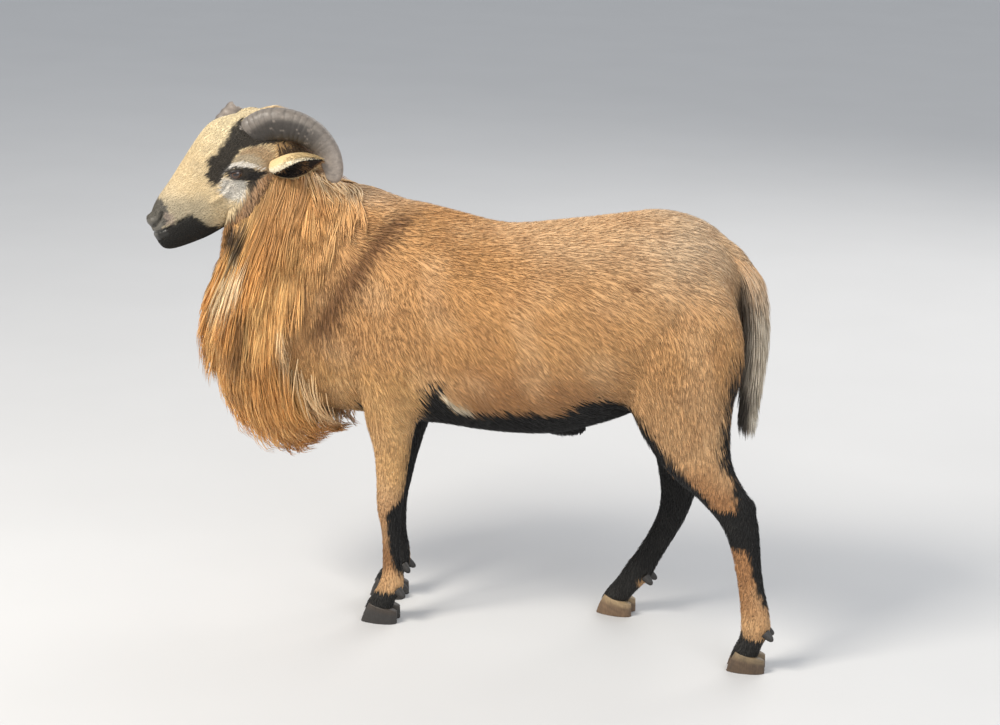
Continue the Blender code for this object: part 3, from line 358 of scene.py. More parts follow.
def neck_surface(table, along, angle, bottom_power):
    """Points of the neck: along it from head to chest, and round it from the crest."""
    along, angle = np.broadcast_arrays(along, angle)
    rows = smooth_rows(table, along.ravel() * (len(table) - 1))
    top_x, top_z, low_x, low_z, side, wide = rows.T
    across, upward = round_point(angle.ravel(), 2.0, bottom_power)
    points = np.stack([
        (top_x + low_x) / 2 + (top_x - low_x) / 2 * upward,
        side + wide * across,
        (top_z + low_z) / 2 + (top_z - low_z) / 2 * upward,
    ], axis=-1)
    return points.reshape(along.shape + (3,))


def neck_point(along, angle, height):
    """A place in the mane, from the flesh at height 0 to the tips at height 1."""
    flesh = neck_surface(NECK_CORE, along, angle, 2.1)
    tips = neck_surface(MANE_TIPS, along, angle, 1.75)
    return flesh + np.asarray(height)[..., None] * (tips - flesh)


def core_share(along):
    """How far the dense under-hair reaches: its whole share on the neck, none on the chest."""
    return MANE_CORE * (1 - ease(0.60, 0.90, np.asarray(along)))


def neck_shape():
    """The neck with the dense under-hair of the mane."""
    along = np.linspace(0, 1, 40)[:, None]
    angle = np.linspace(0, 2 * np.pi, 48, endpoint=False)[None, :]
    return closed_tube(neck_point(along, angle, core_share(along)))


def limb_frame(table, count):
    """Rows of a limb, and the way across its depth, square to its middle line."""
    rows = smooth_rows(table, np.linspace(0, len(table) - 1, count))
    along = np.gradient(rows[:, :3], axis=0)
    depth_way = unit(np.stack([-along[:, 2], np.zeros(count), along[:, 0]], axis=-1))
    return rows, depth_way


def limb_shape(table, count=90, sides=36):
    """A leg or the tail: rings square to its middle line."""
    rows, depth_way = limb_frame(table, count)
    across, forward = round_point(np.linspace(0, 2 * np.pi, sides, endpoint=False), 2.1, 2.1)
    rings = rows[:, None, :3] + (rows[:, 3, None] * forward)[..., None] * depth_way[:, None, :]
    rings[..., 1] += rows[:, 4, None] * across
    return closed_tube(rings)


def fused(shapes, voxel, rounds):
    """One surface round all the shapes, filled with small cubes and smoothed: points and quads."""
    points, quads, fans = joined(shapes)
    thing = bpy.data.objects.new("fusing", new_mesh("fusing", points, [quads, fans]))
    bpy.context.scene.collection.objects.link(thing)
    remesh = thing.modifiers.new("Fuse", "REMESH")
    remesh.mode = "VOXEL"
    remesh.voxel_size = voxel
    smooth = thing.modifiers.new("Smooth", "SMOOTH")
    smooth.factor = 0.5
    smooth.iterations = rounds
    graph = bpy.context.evaluated_depsgraph_get()
    mesh = bpy.data.meshes.new_from_object(thing.evaluated_get(graph))
    bpy.data.objects.remove(thing)
    return mesh_arrays(mesh)


def mesh_arrays(mesh):
    """Points and quads of a mesh that has only quads."""
    points = np.empty(len(mesh.vertices) * 3)
    mesh.vertices.foreach_get("co", points)
    corners = np.empty(len(mesh.loops), np.int32)
    mesh.loops.foreach_get("vertex_index", corners)
    return points.reshape(-1, 3), corners.reshape(-1, 4)


def point_normals(points, quads):
    """At each point, the sum of its faces' normals, each the cross of the face's diagonals."""
    normal = np.cross(points[quads[:, 2]] - points[quads[:, 0]], points[quads[:, 3]] - points[quads[:, 1]])
    corners = quads.T.ravel()
    weights = np.tile(normal, (4, 1))
    total = np.stack([np.bincount(corners, weights[:, k], len(points)) for k in range(3)], axis=-1)
    return unit(total)


WORLD_AXES = np.eye(3)
BODY_FORMS = {
    "sheath": ((0.010, 0.0, 0.327), (0.042, 0.015, 0.018)),
    "top of the scrotum": ((0.186, 0.0, 0.385), (0.030, 0.024, 0.050)),
    "right half of the scrotum": ((0.188, 0.017, 0.325), (0.026, 0.023, 0.045)),
    "left half of the scrotum": ((0.188, -0.017, 0.325), (0.026, 0.023, 0.045)),
    "left point of hock": ((0.322, -0.103, 0.250), (0.010, 0.011, 0.021)),
    "right point of hock": ((0.204, 0.086, 0.218), (0.010, 0.011, 0.021)),
}
PAIRED_FORMS = {
    "shoulder": ((-0.232, 0.098, 0.470), (0.058, 0.042, 0.115)),
    "haunch": ((0.160, 0.098, 0.545), (0.050, 0.036, 0.055)),
}
body_shapes = [torso_shape(), neck_shape()]
body_shapes += [limb_shape(table) for table in LEGS.values()]
body_shapes.append(limb_shape(TAIL_CORE))
body_shapes += [blob(place, radii, WORLD_AXES) for place, radii in BODY_FORMS.values()]
for side in (-1, 1):
    for (x, y, z), radii in PAIRED_FORMS.values():
        body_shapes.append(blob((x, y * side, z), radii, WORLD_AXES))
body_points, body_quads = fused(body_shapes, voxel=0.0054, rounds=5)
body_normals = point_normals(body_points, body_quads)

# The solids go out to the tips of the hair, so the hide lies inside them by the depth of
# the hair there, and by a little more in the hollow of the flank.
coat_depth = 0.0020 + 0.0032 * ease(0.26, 0.40, body_points[:, 2])
x, y, z = body_points.T
hollow = np.exp(-((x - 0.085) / 0.045) ** 2 - ((z - 0.545) / 0.050) ** 2 - ((np.abs(y) - 0.14) / 0.05) ** 2)
body_points = body_points - (coat_depth + 0.006 * hollow)[:, None] * body_normals
body_normals = point_normals(body_points, body_quads)

# Head skin
# Thin hide over the skull: brow, cheek, lips and nostrils, with lids round each eye.
# It is fused on a finer grid than the body, then the slits are pressed in.

LID_RADIUS = EYEBALL_RADIUS + 0.0022
HEAD_FORMS = {
    "eye socket": ((0.088, 0.030, 0.034), (0.027, 0.022, 0.019)),
    "brow": ((0.080, 0.052, 0.038), (0.030, 0.013, 0.014)),
    "root of the horn": ((0.030, 0.060, 0.030), (0.034, 0.030, 0.020)),
    "cheek": ((0.088, -0.010, 0.034), (0.042, 0.028, 0.015)),
    "wing of the nostril": ((0.221, 0.020, 0.016), (0.021, 0.014, 0.012)),
    "upper lip": ((0.212, -0.004, 0.012), (0.026, 0.014, 0.013)),
    "cheekbone": ((0.115, 0.012, 0.037), (0.034, 0.007, 0.010)),
    "jaw muscle": ((0.030, -0.030, 0.040), (0.030, 0.034, 0.014)),
}
head_shapes = [skull_shape()]
for side in (1, -1):
    head_shapes += [blob(on_side(place, side), radii) for place, radii in HEAD_FORMS.values()]
    head_shapes.append(blob(on_side(EYE, side), (LID_RADIUS,) * 3))
lip_middle = blob(head_point(0.234, -0.008, 0.0), (0.013, 0.010, 0.014))
nose_middle = blob(head_point(0.232, 0.034, 0.0), (0.012, 0.012, 0.018))
head_shapes += [lip_middle, nose_middle]
head_points, head_quads = fused(head_shapes, voxel=0.0020, rounds=4)
head_normals = point_normals(head_points, head_quads)
FACE_HAIR_DEPTH = 0.0012
head_points = head_points - FACE_HAIR_DEPTH * head_normals


def head_parts(points):
    """A world point's distances forward, up and left in the head's own frame."""
    return (points - HEAD_PLACE) @ HEAD_AXES.T


def grooved(points, normals, line, half_width, depth):
    """A skin with a groove pressed in: its depth falls off as a bell with the distance to a line."""
    gap = np.full(len(points), np.inf)
    for start, end in zip(line[:-1], line[1:]):
        way = end - start
        part = np.clip((points - start) @ way / (way @ way), 0, 1)
        gap = np.minimum(gap, np.linalg.norm(points - start - part[:, None] * way, axis=1))
    return points - (depth * np.exp(-(gap / half_width) ** 2))[:, None] * normals


def nearest_on(tree, points):
    """The points of a surface nearest to each of the given points."""
    return np.array([tree.find_nearest(Vector(point))[0] for point in points])


head_tree = BVHTree.FromPolygons(head_points.tolist(), head_quads.tolist())
swing = np.linspace(-1, 1, 41) * math.pi / 2
mouth_line = nearest_on(head_tree, head_point(
    0.184 + 0.062 * np.cos(swing) ** 0.7, 0.013 + 0.006 * np.cos(swing), 0.033 * np.sin(swing),
))
head_points = grooved(head_points, head_normals, mouth_line, half_width=0.0021, depth=0.0034)
bend = np.linspace(0, 1, 9)
for side in (1, -1):
    nostril_line = nearest_on(head_tree, head_point(
        0.236 - 0.020 * bend, 0.026 + 0.016 * bend, (0.011 + 0.017 * np.sin(bend * 1.9)) * side,
    ))
    head_points = grooved(head_points, head_normals, nostril_line, half_width=0.0027, depth=0.0062)
    tear_line = nearest_on(head_tree, head_point(
        0.103 + 0.022 * bend, 0.024 - 0.010 * bend, np.full(9, 0.044 * side),
    ))
    head_points = grooved(head_points, head_normals, tear_line, half_width=0.0030, depth=0.0022)
lip_fold = nearest_on(head_tree, head_point(np.full(9, 0.240), 0.030 - 0.016 * bend, np.zeros(9)))
head_points = grooved(head_points, head_normals, lip_fold, half_width=0.0014, depth=0.0018)
head_normals = point_normals(head_points, head_quads)

# Eye slits
# The opening between the lids is an almond, longer than it is high. What the head's
# skin has inside the almond is taken away, and the rim is folded in to the eyeball.

EYE_LENGTH = 0.0270
EYE_HEIGHT = 0.0130
EYE_SLANT = math.atan2(0.008, 0.021)
# The middle of the slit lies a little forward of the eyeball's middle, and below it.
SLIT_FORWARD = 0.002
SLIT_DOWN = 0.001


def eye_plane(points, side):
    """Along and across the slit of an eye from its middle, and outwards from the eyeball's."""
    parts = head_parts(points) * np.array([1, 1, side]) - EYE
    forward = parts[:, 0] - SLIT_FORWARD
    up = parts[:, 1] + SLIT_DOWN
    along = forward * math.cos(EYE_SLANT) + up * math.sin(EYE_SLANT)
    across = up * math.cos(EYE_SLANT) - forward * math.sin(EYE_SLANT)
    return along, across, parts[:, 2]


def almond(along, across):
    """Above 0 inside the slit: its half height falls as a cosine to both corners."""
    part = np.clip(np.abs(along) / (EYE_LENGTH / 2), 0, 1.4)
    curve = np.cos(np.minimum(part, 1) * math.pi / 2).clip(0, 1) ** 0.8
    half = EYE_HEIGHT / 2 * np.where(part < 1, curve, 1 - part)
    return half - np.abs(across)


LID_FOLD = 0.0012
keep = np.ones(len(head_quads), bool)
for side in (1, -1):
    along, across, out = eye_plane(head_points, side)
    inside = (almond(along, across) > 0) & (out > 0)
    keep &= ~inside[head_quads].all(axis=1)
head_quads = head_quads[keep]
for side in (1, -1):
    along, across, out = eye_plane(head_points, side)
    depth = almond(along, across)
    near = (out > 0) & (depth > -LID_FOLD) & (np.abs(along) < EYE_LENGTH / 2 + 0.0006)
    middle = on_side(EYE, side)
    ray = unit(head_points - middle)
    rim = middle + ray * (EYEBALL_RADIUS + 0.0001)
    share = (ease(-LID_FOLD, 0.0004, depth) * near)[:, None]
    head_points = head_points * (1 - share) + rim * share
head_normals = point_normals(head_points, head_quads)

# Markings
# The short coat is tan over the trunk, black under the belly, behind the legs and
# below the fetlocks. The face is cream with a black stripe and a black jaw.


def linear(code):
    """An sRGB hex colour as linear red, green and blue."""
    part = np.array([int(code[k:k + 2], 16) for k in (1, 3, 5)]) / 255
    return np.where(part <= 0.04045, part / 12.92, ((part + 0.055) / 1.055) ** 2.4)


def blend(under, over, share):
    """One colour laid over another by a share from 0 to 1."""
    return under + (over - under) * np.asarray(share)[..., None]


def wobble(points, size, seed):
    """Smooth noise of about -1 to 1: the sum of ten waves of that length in chance directions."""
    draw = np.random.default_rng(seed)
    ways = unit(draw.normal(size=(10, 3))) * 2 * np.pi / (size * draw.uniform(0.7, 1.5, (10, 1)))
    return np.sin(points @ ways.T + draw.uniform(0, 2 * np.pi, 10)).sum(axis=-1) / 3.2


def inside_outline(across, up, outline):
    """Distance inside an outline, in the outline's own unit, and below 0 outside it."""
    outline = np.asarray(outline, float)
    gap = np.full(across.shape, np.inf)
    within = np.zeros(across.shape, bool)
    for (x1, y1), (x2, y2) in zip(outline, np.roll(outline, -1, axis=0)):
        wide, tall = x2 - x1, y2 - y1
        part = np.clip(((across - x1) * wide + (up - y1) * tall) / (wide ** 2 + tall ** 2), 0, 1)
        gap = np.minimum(gap, np.hypot(across - x1 - part * wide, up - y1 - part * tall))
        crosses = (y1 > up) != (y2 > up)
        if tall:
            within ^= crosses & (across < x1 + (up - y1) * wide / tall)
    return np.where(within, gap, -gap)


def add_marks(base, across, up, ragged, marks):
    """Lays marks over colours. A mark is a tone, the width of its soft edge, its strength and an outline."""
    for tone, soft, strength, outline in marks:
        depth = inside_outline(across, up, outline) + ragged
        base = blend(base, tone, strength * ease(-soft / 2, soft / 2, depth))
    return base


def on_line(value, line):
    """Reads a line of pairs, a value and its result, between its points."""
    return np.interp(value, *np.array(line).T)


def through(value, ramps):
    """The product of the smooth steps of a value over pairs of limits."""
    return np.prod([ease(low, high, value) for low, high in ramps], axis=0)


TAN = linear("#c69763")
TAN_LIGHT = linear("#d9b285")
TAN_DARK = linear("#a5764c")
TAN_PALE = linear("#d8c2a4")
TAN_GOLD = linear("#c3915a")
TAN_BRIGHT = linear("#dcaa66")
TAN_BROWN = linear("#7d5530")
MANE_FOLD_SHADE = linear("#6c4727")
CHEEK = linear("#987758")
BLACK_HAIR = linear("#0c0a08")
GREY_BLACK = linear("#2d2b28")
WHITE_HAIR = linear("#d8c8ac")
# Tones of the tan hair: strength, and the ramps along (x) and up (z) that bound each area.
COAT_TONES = (
    (TAN_GOLD, 0.75, ((0.05, -0.06),), ((0.36, 0.42),)),
    (TAN_PALE, 0.45, ((-0.12, 0.02),), ((0.56, 0.66),)),
    (TAN_LIGHT, 0.95, ((-0.16, -0.06), (0.14, 0.06)), ((0.60, 0.65),)),
    (TAN_LIGHT, 0.70, ((-0.10, -0.14),), ((0.44, 0.38), (0.16, 0.24))),
    (TAN_BRIGHT, 0.55, ((-0.16, -0.20),), ((0.46, 0.40), (0.20, 0.25))),
    (TAN_DARK, 0.90, ((0.10, 0.16),), ((0.34, 0.28), (0.12, 0.16))),
    (TAN_PALE, 0.40, ((0.10, 0.20),), ((0.50, 0.64),)),
    (TAN_DARK, 0.70, ((-0.17, -0.08), (0.14, 0.06)), ((0.49, 0.42),)),
    (TAN_PALE, 0.50, ((-0.19, -0.24),), ((0.650, 0.680),)),
)
# Height of the edge between tan flank and black belly, by place along.
BELLY_LINE = (
    (-0.30, 0.30), (-0.235, 0.345), (-0.205, 0.390), (-0.192, 0.402), (-0.177, 0.405), (-0.163, 0.397),
    (-0.150, 0.382), (-0.143, 0.370), (-0.124, 0.366), (-0.096, 0.372), (-0.065, 0.378), (-0.033, 0.384),
    (-0.013, 0.383), (0.004, 0.379), (0.024, 0.382), (0.034, 0.393), (0.053, 0.404), (0.071, 0.411),
    (0.088, 0.415), (0.105, 0.411), (0.117, 0.402), (0.124, 0.393), (0.140, 0.375), (0.30, 0.375),
)
# Place along of the painted shade in the fold behind the mane, by height.
MANE_SHADOW = ((0.470, -0.365), (0.534, -0.334), (0.601, -0.293), (0.665, -0.250))
SCAR = (0.127, 0.586)
# Edges of the black on a leg, by height, in half depths behind its middle line.
FORELEG_REAR = (
    (0.050, -1.6), (0.060, 1.30), (0.079, 0.95), (0.091, 0.55), (0.106, 0.13), (0.131, -0.02),
    (0.147, -0.15), (0.173, -0.10), (0.187, 0.03), (0.197, 0.40), (0.209, 0.75), (0.227, 0.92),
    (0.296, 0.90), (0.340, 0.96), (0.400, 0.92), (0.430, 1.3),
)
HINDLEG_REAR = (
    (0.050, -1.6), (0.056, 1.25), (0.093, 1.05), (0.110, 0.67), (0.133, 0.50), (0.156, 0.29),
    (0.192, 0.20), (0.197, -1.6), (0.250, -1.6), (0.256, 0.30), (0.272, 0.55), (0.300, 0.78),
    (0.331, 0.62), (0.397, 0.78), (0.459, 0.80), (0.520, 1.1),
)
HINDLEG_FRONT = (
    (0.050, 1.6), (0.058, -0.30), (0.070, -1.3), (0.192, -1.3), (0.250, -0.60), (0.277, -0.66),
    (0.330, -0.66), (0.386, -0.85), (0.430, -1.6),
)
# Where the mane starts behind jaw and cheek: mm above the eye, and mm right of it.
MANE_START = (
    (-400, -200), (-140, -200), (-122, -24), (-78, -4), (-64, 20), (-28, 46), (5, 62), (30, 70), (400, 70),
)
# The side view's ways right and up, as shares of the head's forward, up and left.
SIDE_VIEW = np.array([[-0.815, -0.542, 0.205], [-0.579, 0.773, -0.258]])


def from_eye(points):
    """How far right of and above the eye a point lies in the side view, in mm, on either side."""
    parts = head_parts(points)
    parts[..., 2] = np.abs(parts[..., 2])
    return np.moveaxis(1000 * (parts - EYE) @ SIDE_VIEW.T, -1, 0)


def behind_mane_start(points):
    """Above 0 where the mane grows: metres behind the rear edge of jaw and cheek in the side view."""
    across, up = from_eye(points)
    return (across - on_line(up, MANE_START)) / 1000


def throat_stripe(points):
    """Share of black where a dark stripe runs from the jaw's angle down the throat."""
    across, up = from_eye(points)
    return ease(1.25, 0.70, np.hypot((across + 2 + 0.10 * (up + 110)) / 19, (up + 104) / 34))


def leg_place(points, table):
    """Shares of half depth to the rear and of half width outwards, from a leg's middle line."""
    side = np.sign(table[6, 1])
    read = [np.interp(-points[:, 2], -table[:, 2], table[:, k]) for k in (0, 1, 3, 4)]
    rear = (points[:, 0] - read[0]) / read[2]
    out = (points[:, 1] - read[1]) * side / read[3]
    return rear, out


def tan_coat(points):
    """Colour of the tan hair: soft areas of light and dark, darker shins and fine patches."""
    x, _, z = points.T
    light = 0.55 * ease(-0.10, -0.26, x) + 0.45 * ease(0.48, 0.36, z) * ease(0.02, 0.16, x)
    base = blend(TAN, TAN_LIGHT, light)
    for tone, strength, along, up in COAT_TONES:
        base = blend(base, tone, strength * through(x, along) * through(z, up))
    above_foot = ease(0.075, 0.105, z)
    shin = np.where(x > 0, ease(0.30, 0.20, z), ease(0.25, 0.16, z))
    base = blend(base, TAN_DARK, 0.75 * shin * above_foot)
    base = blend(base, TAN_BROWN, 0.40 * ease(0.0, -0.05, x) * ease(0.18, 0.14, z) * above_foot)
    base = blend(base, TAN_LIGHT, 0.35 * np.clip(wobble(points, 0.09, 3), 0, 1))
    return blend(base, TAN_DARK, 0.25 * np.clip(wobble(points, 0.05, 5), 0, 1))


def leg_black(points, name):
    """Share of black on one leg: its inner side, its rear, and a hind leg's front from the hock up."""
    z = points[:, 2]
    fore = name.startswith("fore")
    rear, out = leg_place(points, LEGS[name])
    rear = rear + 0.10 * wobble(points, 0.012, 9)
    further = 0.40 if name.endswith("right") else 0.0
    rear_line = on_line(z, FORELEG_REAR if fore else HINDLEG_REAR)
    black = ease(-0.10, 0.12, rear - rear_line + further * ease(0.12, 0.20, z))
    black = np.maximum(black, ease(-0.10, -0.35, out - further) * ease(0.46, 0.40, z))
    if not fore:
        black = np.maximum(black, ease(0.12, -0.10, rear - on_line(z, HINDLEG_FRONT)))
    return black


def above_belly(points):
    """Height of a point above the edge of the belly's black."""
    return points[:, 2] - (on_line(points[:, 0], BELLY_LINE) + 0.003)


def black_coat(points, ragged):
    """Share of black hair under belly and chest, on the legs and between the thighs."""
    x, y, z = points.T
    belly = ease(0.003, -0.003, above_belly(points) + ragged) * ease(-0.25, -0.20, x) * ease(0.16, 0.12, x)
    # Black hair under the chest, which also stands in for the chest's shade there: partly painted shade.
    chest = ease(-0.24, -0.26, x) * ease(-0.318, -0.300, x) * ease(0.365, 0.350, z + ragged)
    black = np.maximum(belly, chest * ease(0.070, 0.050, np.abs(y)))
    for name, table in LEGS.items():
        fore = name.startswith("fore")
        mine = ((x < 0) == fore) & ((y < 0) == name.endswith("left")) & (z < (0.43 if fore else 0.53))
        mine &= (np.abs(leg_place(points, table)[0]) < 1.3) | (z < 0.30)
        black = np.where(mine, leg_black(points, name), black)
    black = np.maximum(black, ease(0.062, 0.045, np.abs(y)) * ease(0.08, 0.11, x) * ease(0.47, 0.43, z))
    # Behind the right hind pastern the black leaves a tan patch.
    tan_patch = np.hypot((x - 0.140) / 0.014, (z - 0.057) / 0.010) + ease(0.02, 0.12, y - 0.13)
    return black * (1 - ease(1.2, 0.7, tan_patch) * (y > 0))


def body_paint(points):
    """Colour of the coat on trunk, neck and legs, from where a hair grows."""
    x, y, z = points.T
    ragged = 0.0035 * wobble(points, 0.010, 7)
    # The dark band along the rear edge of the mane is painted shade in the fold there.
    behind = x - on_line(z, MANE_SHADOW) + ragged
    shadow = ease(-0.020, 0.006, behind) * ease(0.052, 0.012, behind)
    shadow = shadow * ease(0.44, 0.50, z) * ease(0.668, 0.640, z)
    base = blend(tan_coat(points), MANE_FOLD_SHADE, 0.88 * shadow)
    start_gap = behind_mane_start(points)
    on_neck = ease(-0.28, -0.33, x)
    base = blend(base, CHEEK, 0.75 * ease(0.030, 0.0, start_gap) * on_neck)
    base = blend(base, face_paint(points), ease(-0.014, -0.026, start_gap) * on_neck)
    scar = ease(0.010, 0.003, np.hypot(x - SCAR[0], z - SCAR[1])) * (y < 0)
    base = blend(base, TAN_BROWN, 0.85 * scar)
    above = above_belly(points)
    white = ease(0.017, 0.011, above) * ease(-0.002, 0.002, above)
    base = blend(base, WHITE_HAIR, white * ease(-0.162, -0.155, x) * ease(-0.108, -0.122, x))
    greyer = 0.6 * ease(0.10, 0.05, z) + 0.25 * np.clip(wobble(points, 0.03, 11), 0, 1)
    painted = blend(base, blend(BLACK_HAIR, GREY_BLACK, greyer), black_coat(points, ragged))
    tail_middle = ease(0.225, 0.262, x) * ease(0.052, 0.034, np.abs(y))
    painted = blend(painted, GREY_BLACK, 0.85 * tail_middle * ease(0.610, 0.545, z) * ease(0.30, 0.40, z))
    return blend(painted, BLACK_HAIR, 0.9 * throat_stripe(points))


CREAM = linear("#d6bf96")
CREAM_PALE = linear("#e2d0a8")
MUZZLE = linear("#bfae90")
MUZZLE_LOW = linear("#8a8270")
FACE_BLACK = linear("#1e1a17")
ABOVE_EYE = linear("#a98e6c")
LID_GREY = linear("#b3a58c")
CROWN = linear("#bd9561")
EYELID_PALE = linear("#e6dfd4")
BELOW_EYE = linear("#cdc8be")
JAW_BLACK = linear("#0a0908")
NOSE_GREY = linear("#504d47")
NOSE_PINK = linear("#9b8a7c")
# Marks of the face, one over the other, in mm right of and above the eye.
FACE_MARKS = (
    (CROWN, 14.0, 0.85, (
        (34, 46), (56, 40), (64, 16), (62, -30), (200, -60), (200, 160), (60, 160), (38, 86),
    )),
    (ABOVE_EYE, 5.0, 0.95, ((-6, 8), (8, 31), (28, 38), (52, 36), (62, 18), (44, 0), (17, 2))),
    (CHEEK, 12.0, 0.80, ((24, -8), (70, 10), (90, -60), (40, -140), (0, -90), (2, -56), (14, -34))),
    (LID_GREY, 6.0, 0.80, ((-14, 6), (2, 24), (22, 27), (38, 17), (44, 4), (17, 2))),
    (EYELID_PALE, 2.0, 0.95, (
        (-27, -4), (-18, 5), (-8, 11), (5, 14), (17, 13.5), (30, 10), (43, 3), (27, 6), (12, 7), (-2, 5.5),
        (-12, 1.5), (-20, -4),
    )),
    (BELOW_EYE, 8.0, 0.90, ((-27, -10), (-10, -10), (14, -12), (16, -24), (8, -40), (-14, -44), (-27, -30))),
    # The black stripe from the horn to the eye; where it reaches on under the horn toward the ear's root it
    # is painted shade of the horn.
    (FACE_BLACK, 3.5, 0.97, (
        (-44, -20), (-45, 14), (-28, 30), (-10, 50), (-8, 66), (8, 80), (60, 80), (96, 60), (84, 44),
        (50, 42), (28, 37), (8, 34), (-6, 14), (-20, -5), (-30, -20),
    )),
    (FACE_BLACK, 2.0, 0.97, (
        (-17, 1), (-8, 5), (14, 7), (44, -2), (27, -12), (13, -14), (-6, -11), (-15, -6),
    )),
    (FACE_BLACK, 3.0, 0.90, ((15, 0), (42, -3), (35, -14), (26, -32), (15, -20))),
    (JAW_BLACK, 3.5, 0.98, (
        (-112, -84), (-93, -75), (-80, -68), (-68, -63), (-58, -74), (-39, -81), (-21, -77), (-6, -66),
        (7, -57), (13, -64), (8, -84), (-2, -110), (-32, -150), (-150, -150), (-140, -95),
    )),
    (JAW_BLACK, 3.5, 0.90, (
        (-8, -69), (6, -54), (15, -42), (24, -26), (32, -32), (24, -51), (15, -69), (3, -81),
    )),
    (NOSE_GREY, 2.5, 0.95, (
        (-118, -39), (-105, -52), (-101, -63), (-107, -78), (-131, -103), (-160, -87), (-154, -45),
    )),
    (NOSE_PINK, 3.0, 0.60, ((-111, -60), (-98, -60), (-97, -78), (-107, -80))),
)


def face_paint(points):
    """Colour of the face: cream, duller on the muzzle, with the marks, whose edges are ragged."""
    forward, high, _ = head_parts(points).T
    across, up = from_eye(points)
    base = blend(CREAM, CREAM_PALE, ease(0.04, 0.10, high) * ease(0.16, 0.05, forward))
    base = blend(base, MUZZLE, 0.8 * ease(0.150, 0.205, forward))
    base = blend(base, MUZZLE_LOW, 0.65 * ease(-26, -52, up) * ease(-20, -62, across))
    base = blend(base, MUZZLE, 0.25 * np.clip(wobble(points, 0.02, 21), 0, 1))
    ragged = 1.6 * wobble(points, 0.006, 23) + 1.2 * wobble(points, 0.015, 24)
    ragged = ragged * (0.30 + 0.70 * ease(18, 40, np.hypot(across, up)))
    return add_marks(base, across, up, ragged, FACE_MARKS)


# Material of hair
# Hair is rough, with a faint gloss, and takes its colour from the markings. One noise
# gives it streaks and a fine bump.


def add_node(tree, kind, settings=None, links=None):
    """Adds a node, sets the given sockets and properties, and links the given outputs to it."""
    node = tree.nodes.new(kind)
    for key, value in (settings or {}).items():
        if key in node.inputs:
            node.inputs[key].default_value = value
        else:
            setattr(node, key, value)
    for key, output in (links or {}).items():
        tree.links.new(output, node.inputs[key])
    return node


def new_material(name, settings):
    """A material with its output and a shader with the given settings."""
    material = bpy.data.materials.new(name)
    material.use_nodes = True
    tree = material.node_tree
    tree.nodes.clear()
    shader = add_node(tree, "ShaderNodeBsdfPrincipled", settings)
    add_node(tree, "ShaderNodeOutputMaterial", links={"Surface": shader.outputs["BSDF"]})
    return material, tree, shader


def object_place(tree):
    """The place of a point in the object's own metres, which are real ones here."""
    return add_node(tree, "ShaderNodeTexCoord").outputs["Object"]


def markings(tree):
    """The painted colour of a point."""
    return add_node(tree, "ShaderNodeAttribute", {"attribute_name": "markings"}).outputs["Color"]


def add_bump(tree, shader, height, strength, distance):
    """Gives the shader a bump of the given strength and depth in metres."""
    bump = add_node(tree, "ShaderNodeBump", {"Strength": strength, "Distance": distance}, {"Height": height})
    tree.links.new(bump.outputs["Normal"], shader.inputs["Normal"])


def spread(tree, value, low, high):
    """The middle part of a noise, 0.3 to 0.7, spread over a range."""
    settings = {"From Min": 0.3, "From Max": 0.7, "To Min": low, "To Max": high}
    return add_node(tree, "ShaderNodeMapRange", settings, {"Value": value}).outputs["Result"]


def add_grain(tree, shader, place, noise, tones, strength, distance):
    """One noise used twice: streaks of tone over the markings, and a bump. Gives back the noise."""
    grain = add_node(tree, "ShaderNodeTexNoise", noise, {"Vector": place}).outputs["Fac"]
    streaks = {"Scale": spread(tree, grain, *tones)}
    mixed = add_node(tree, "ShaderNodeVectorMath", {"operation": "SCALE"}, streaks)
    tree.links.new(markings(tree), mixed.inputs[0])
    tree.links.new(mixed.outputs["Vector"], shader.inputs["Base Color"])
    add_bump(tree, shader, grain, strength, distance)
    return grain


def hair_material(name, roughness, sheen, grain):
    """Hair: grain is how many streaks a metre; they read as single hairs within a tuft."""
    material, tree, shader = new_material(name, {
        "Roughness": roughness,
        "IOR": 1.5,
        "Specular IOR Level": 0.35,
        "Sheen Weight": sheen,
        "Sheen Roughness": 0.5,
    })
    noise = {"Scale": grain, "Detail": 3.0}
    add_grain(tree, shader, object_place(tree), noise, (0.80, 1.14), strength=0.35, distance=0.0008)
    return material


# Short hair lies close, so it looks soft and nearly dull.
SHORT_HAIR = hair_material("short flat hair", 0.66, 0.04, 900.0)
# Long hair is smoother, so its locks have a little more gloss.
LONG_HAIR = hair_material("long mane hair", 0.52, 0.06, 700.0)
# Hide is dull, so that gaps between tufts look like deeper hair.
HIDE = hair_material("hide under the hair", 0.80, 0.0, 600.0)


def add_piece(name, points, face_sets, material, colours, replaced=()):
    """Adds a finished piece that rides with the model, with its markings as a colour per point."""
    mesh = new_mesh(name, points + SHIFT, face_sets)
    mesh.materials.append(material)
    layer = mesh.color_attributes.new("markings", "FLOAT_COLOR", "POINT")
    rgba = np.ones((len(points), 4), np.float32)
    rgba[:, :3] = colours
    layer.data.foreach_set("color", rgba.ravel())
    thing = bpy.data.objects.new(name, mesh)
    bpy.context.scene.collection.objects.link(thing)
    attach(thing, "root")
    if replaced:
        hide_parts(*replaced)
    return thing


def add_tube(name, rings, material, tone, node):
    """Adds one closed tube in the place of a node, with its markings as a colour for each ring point."""
    points, quads, fans = closed_tube(rings)
    tone = np.broadcast_to(tone, rings.shape).reshape(-1, 3)
    tone = np.concatenate([tone, tone[:1], tone[-1:]])
    return add_piece(name, points, [quads, fans], material, tone, (node,))


# The hide is painted a little darker than the hair on it: painted shade deep between the tufts.
body_colours = body_paint(body_points) * 0.88
head_colours = face_paint(head_points) * 0.93
skin_points = np.concatenate([body_points, head_points])
skin_quads = np.concatenate([body_quads, head_quads + len(body_points)])
skin = add_piece(
    "skin", skin_points, [skin_quads], HIDE, np.concatenate([body_colours, head_colours]),
    ("head", "neck", "torso", "tail") + tuple(LEGS),
)

# Tufts
# A tuft is a flat tapered lock of hairs that lie together. Each is a closed blade with
# three sides, which follows a short path over the skin and ends in a point.


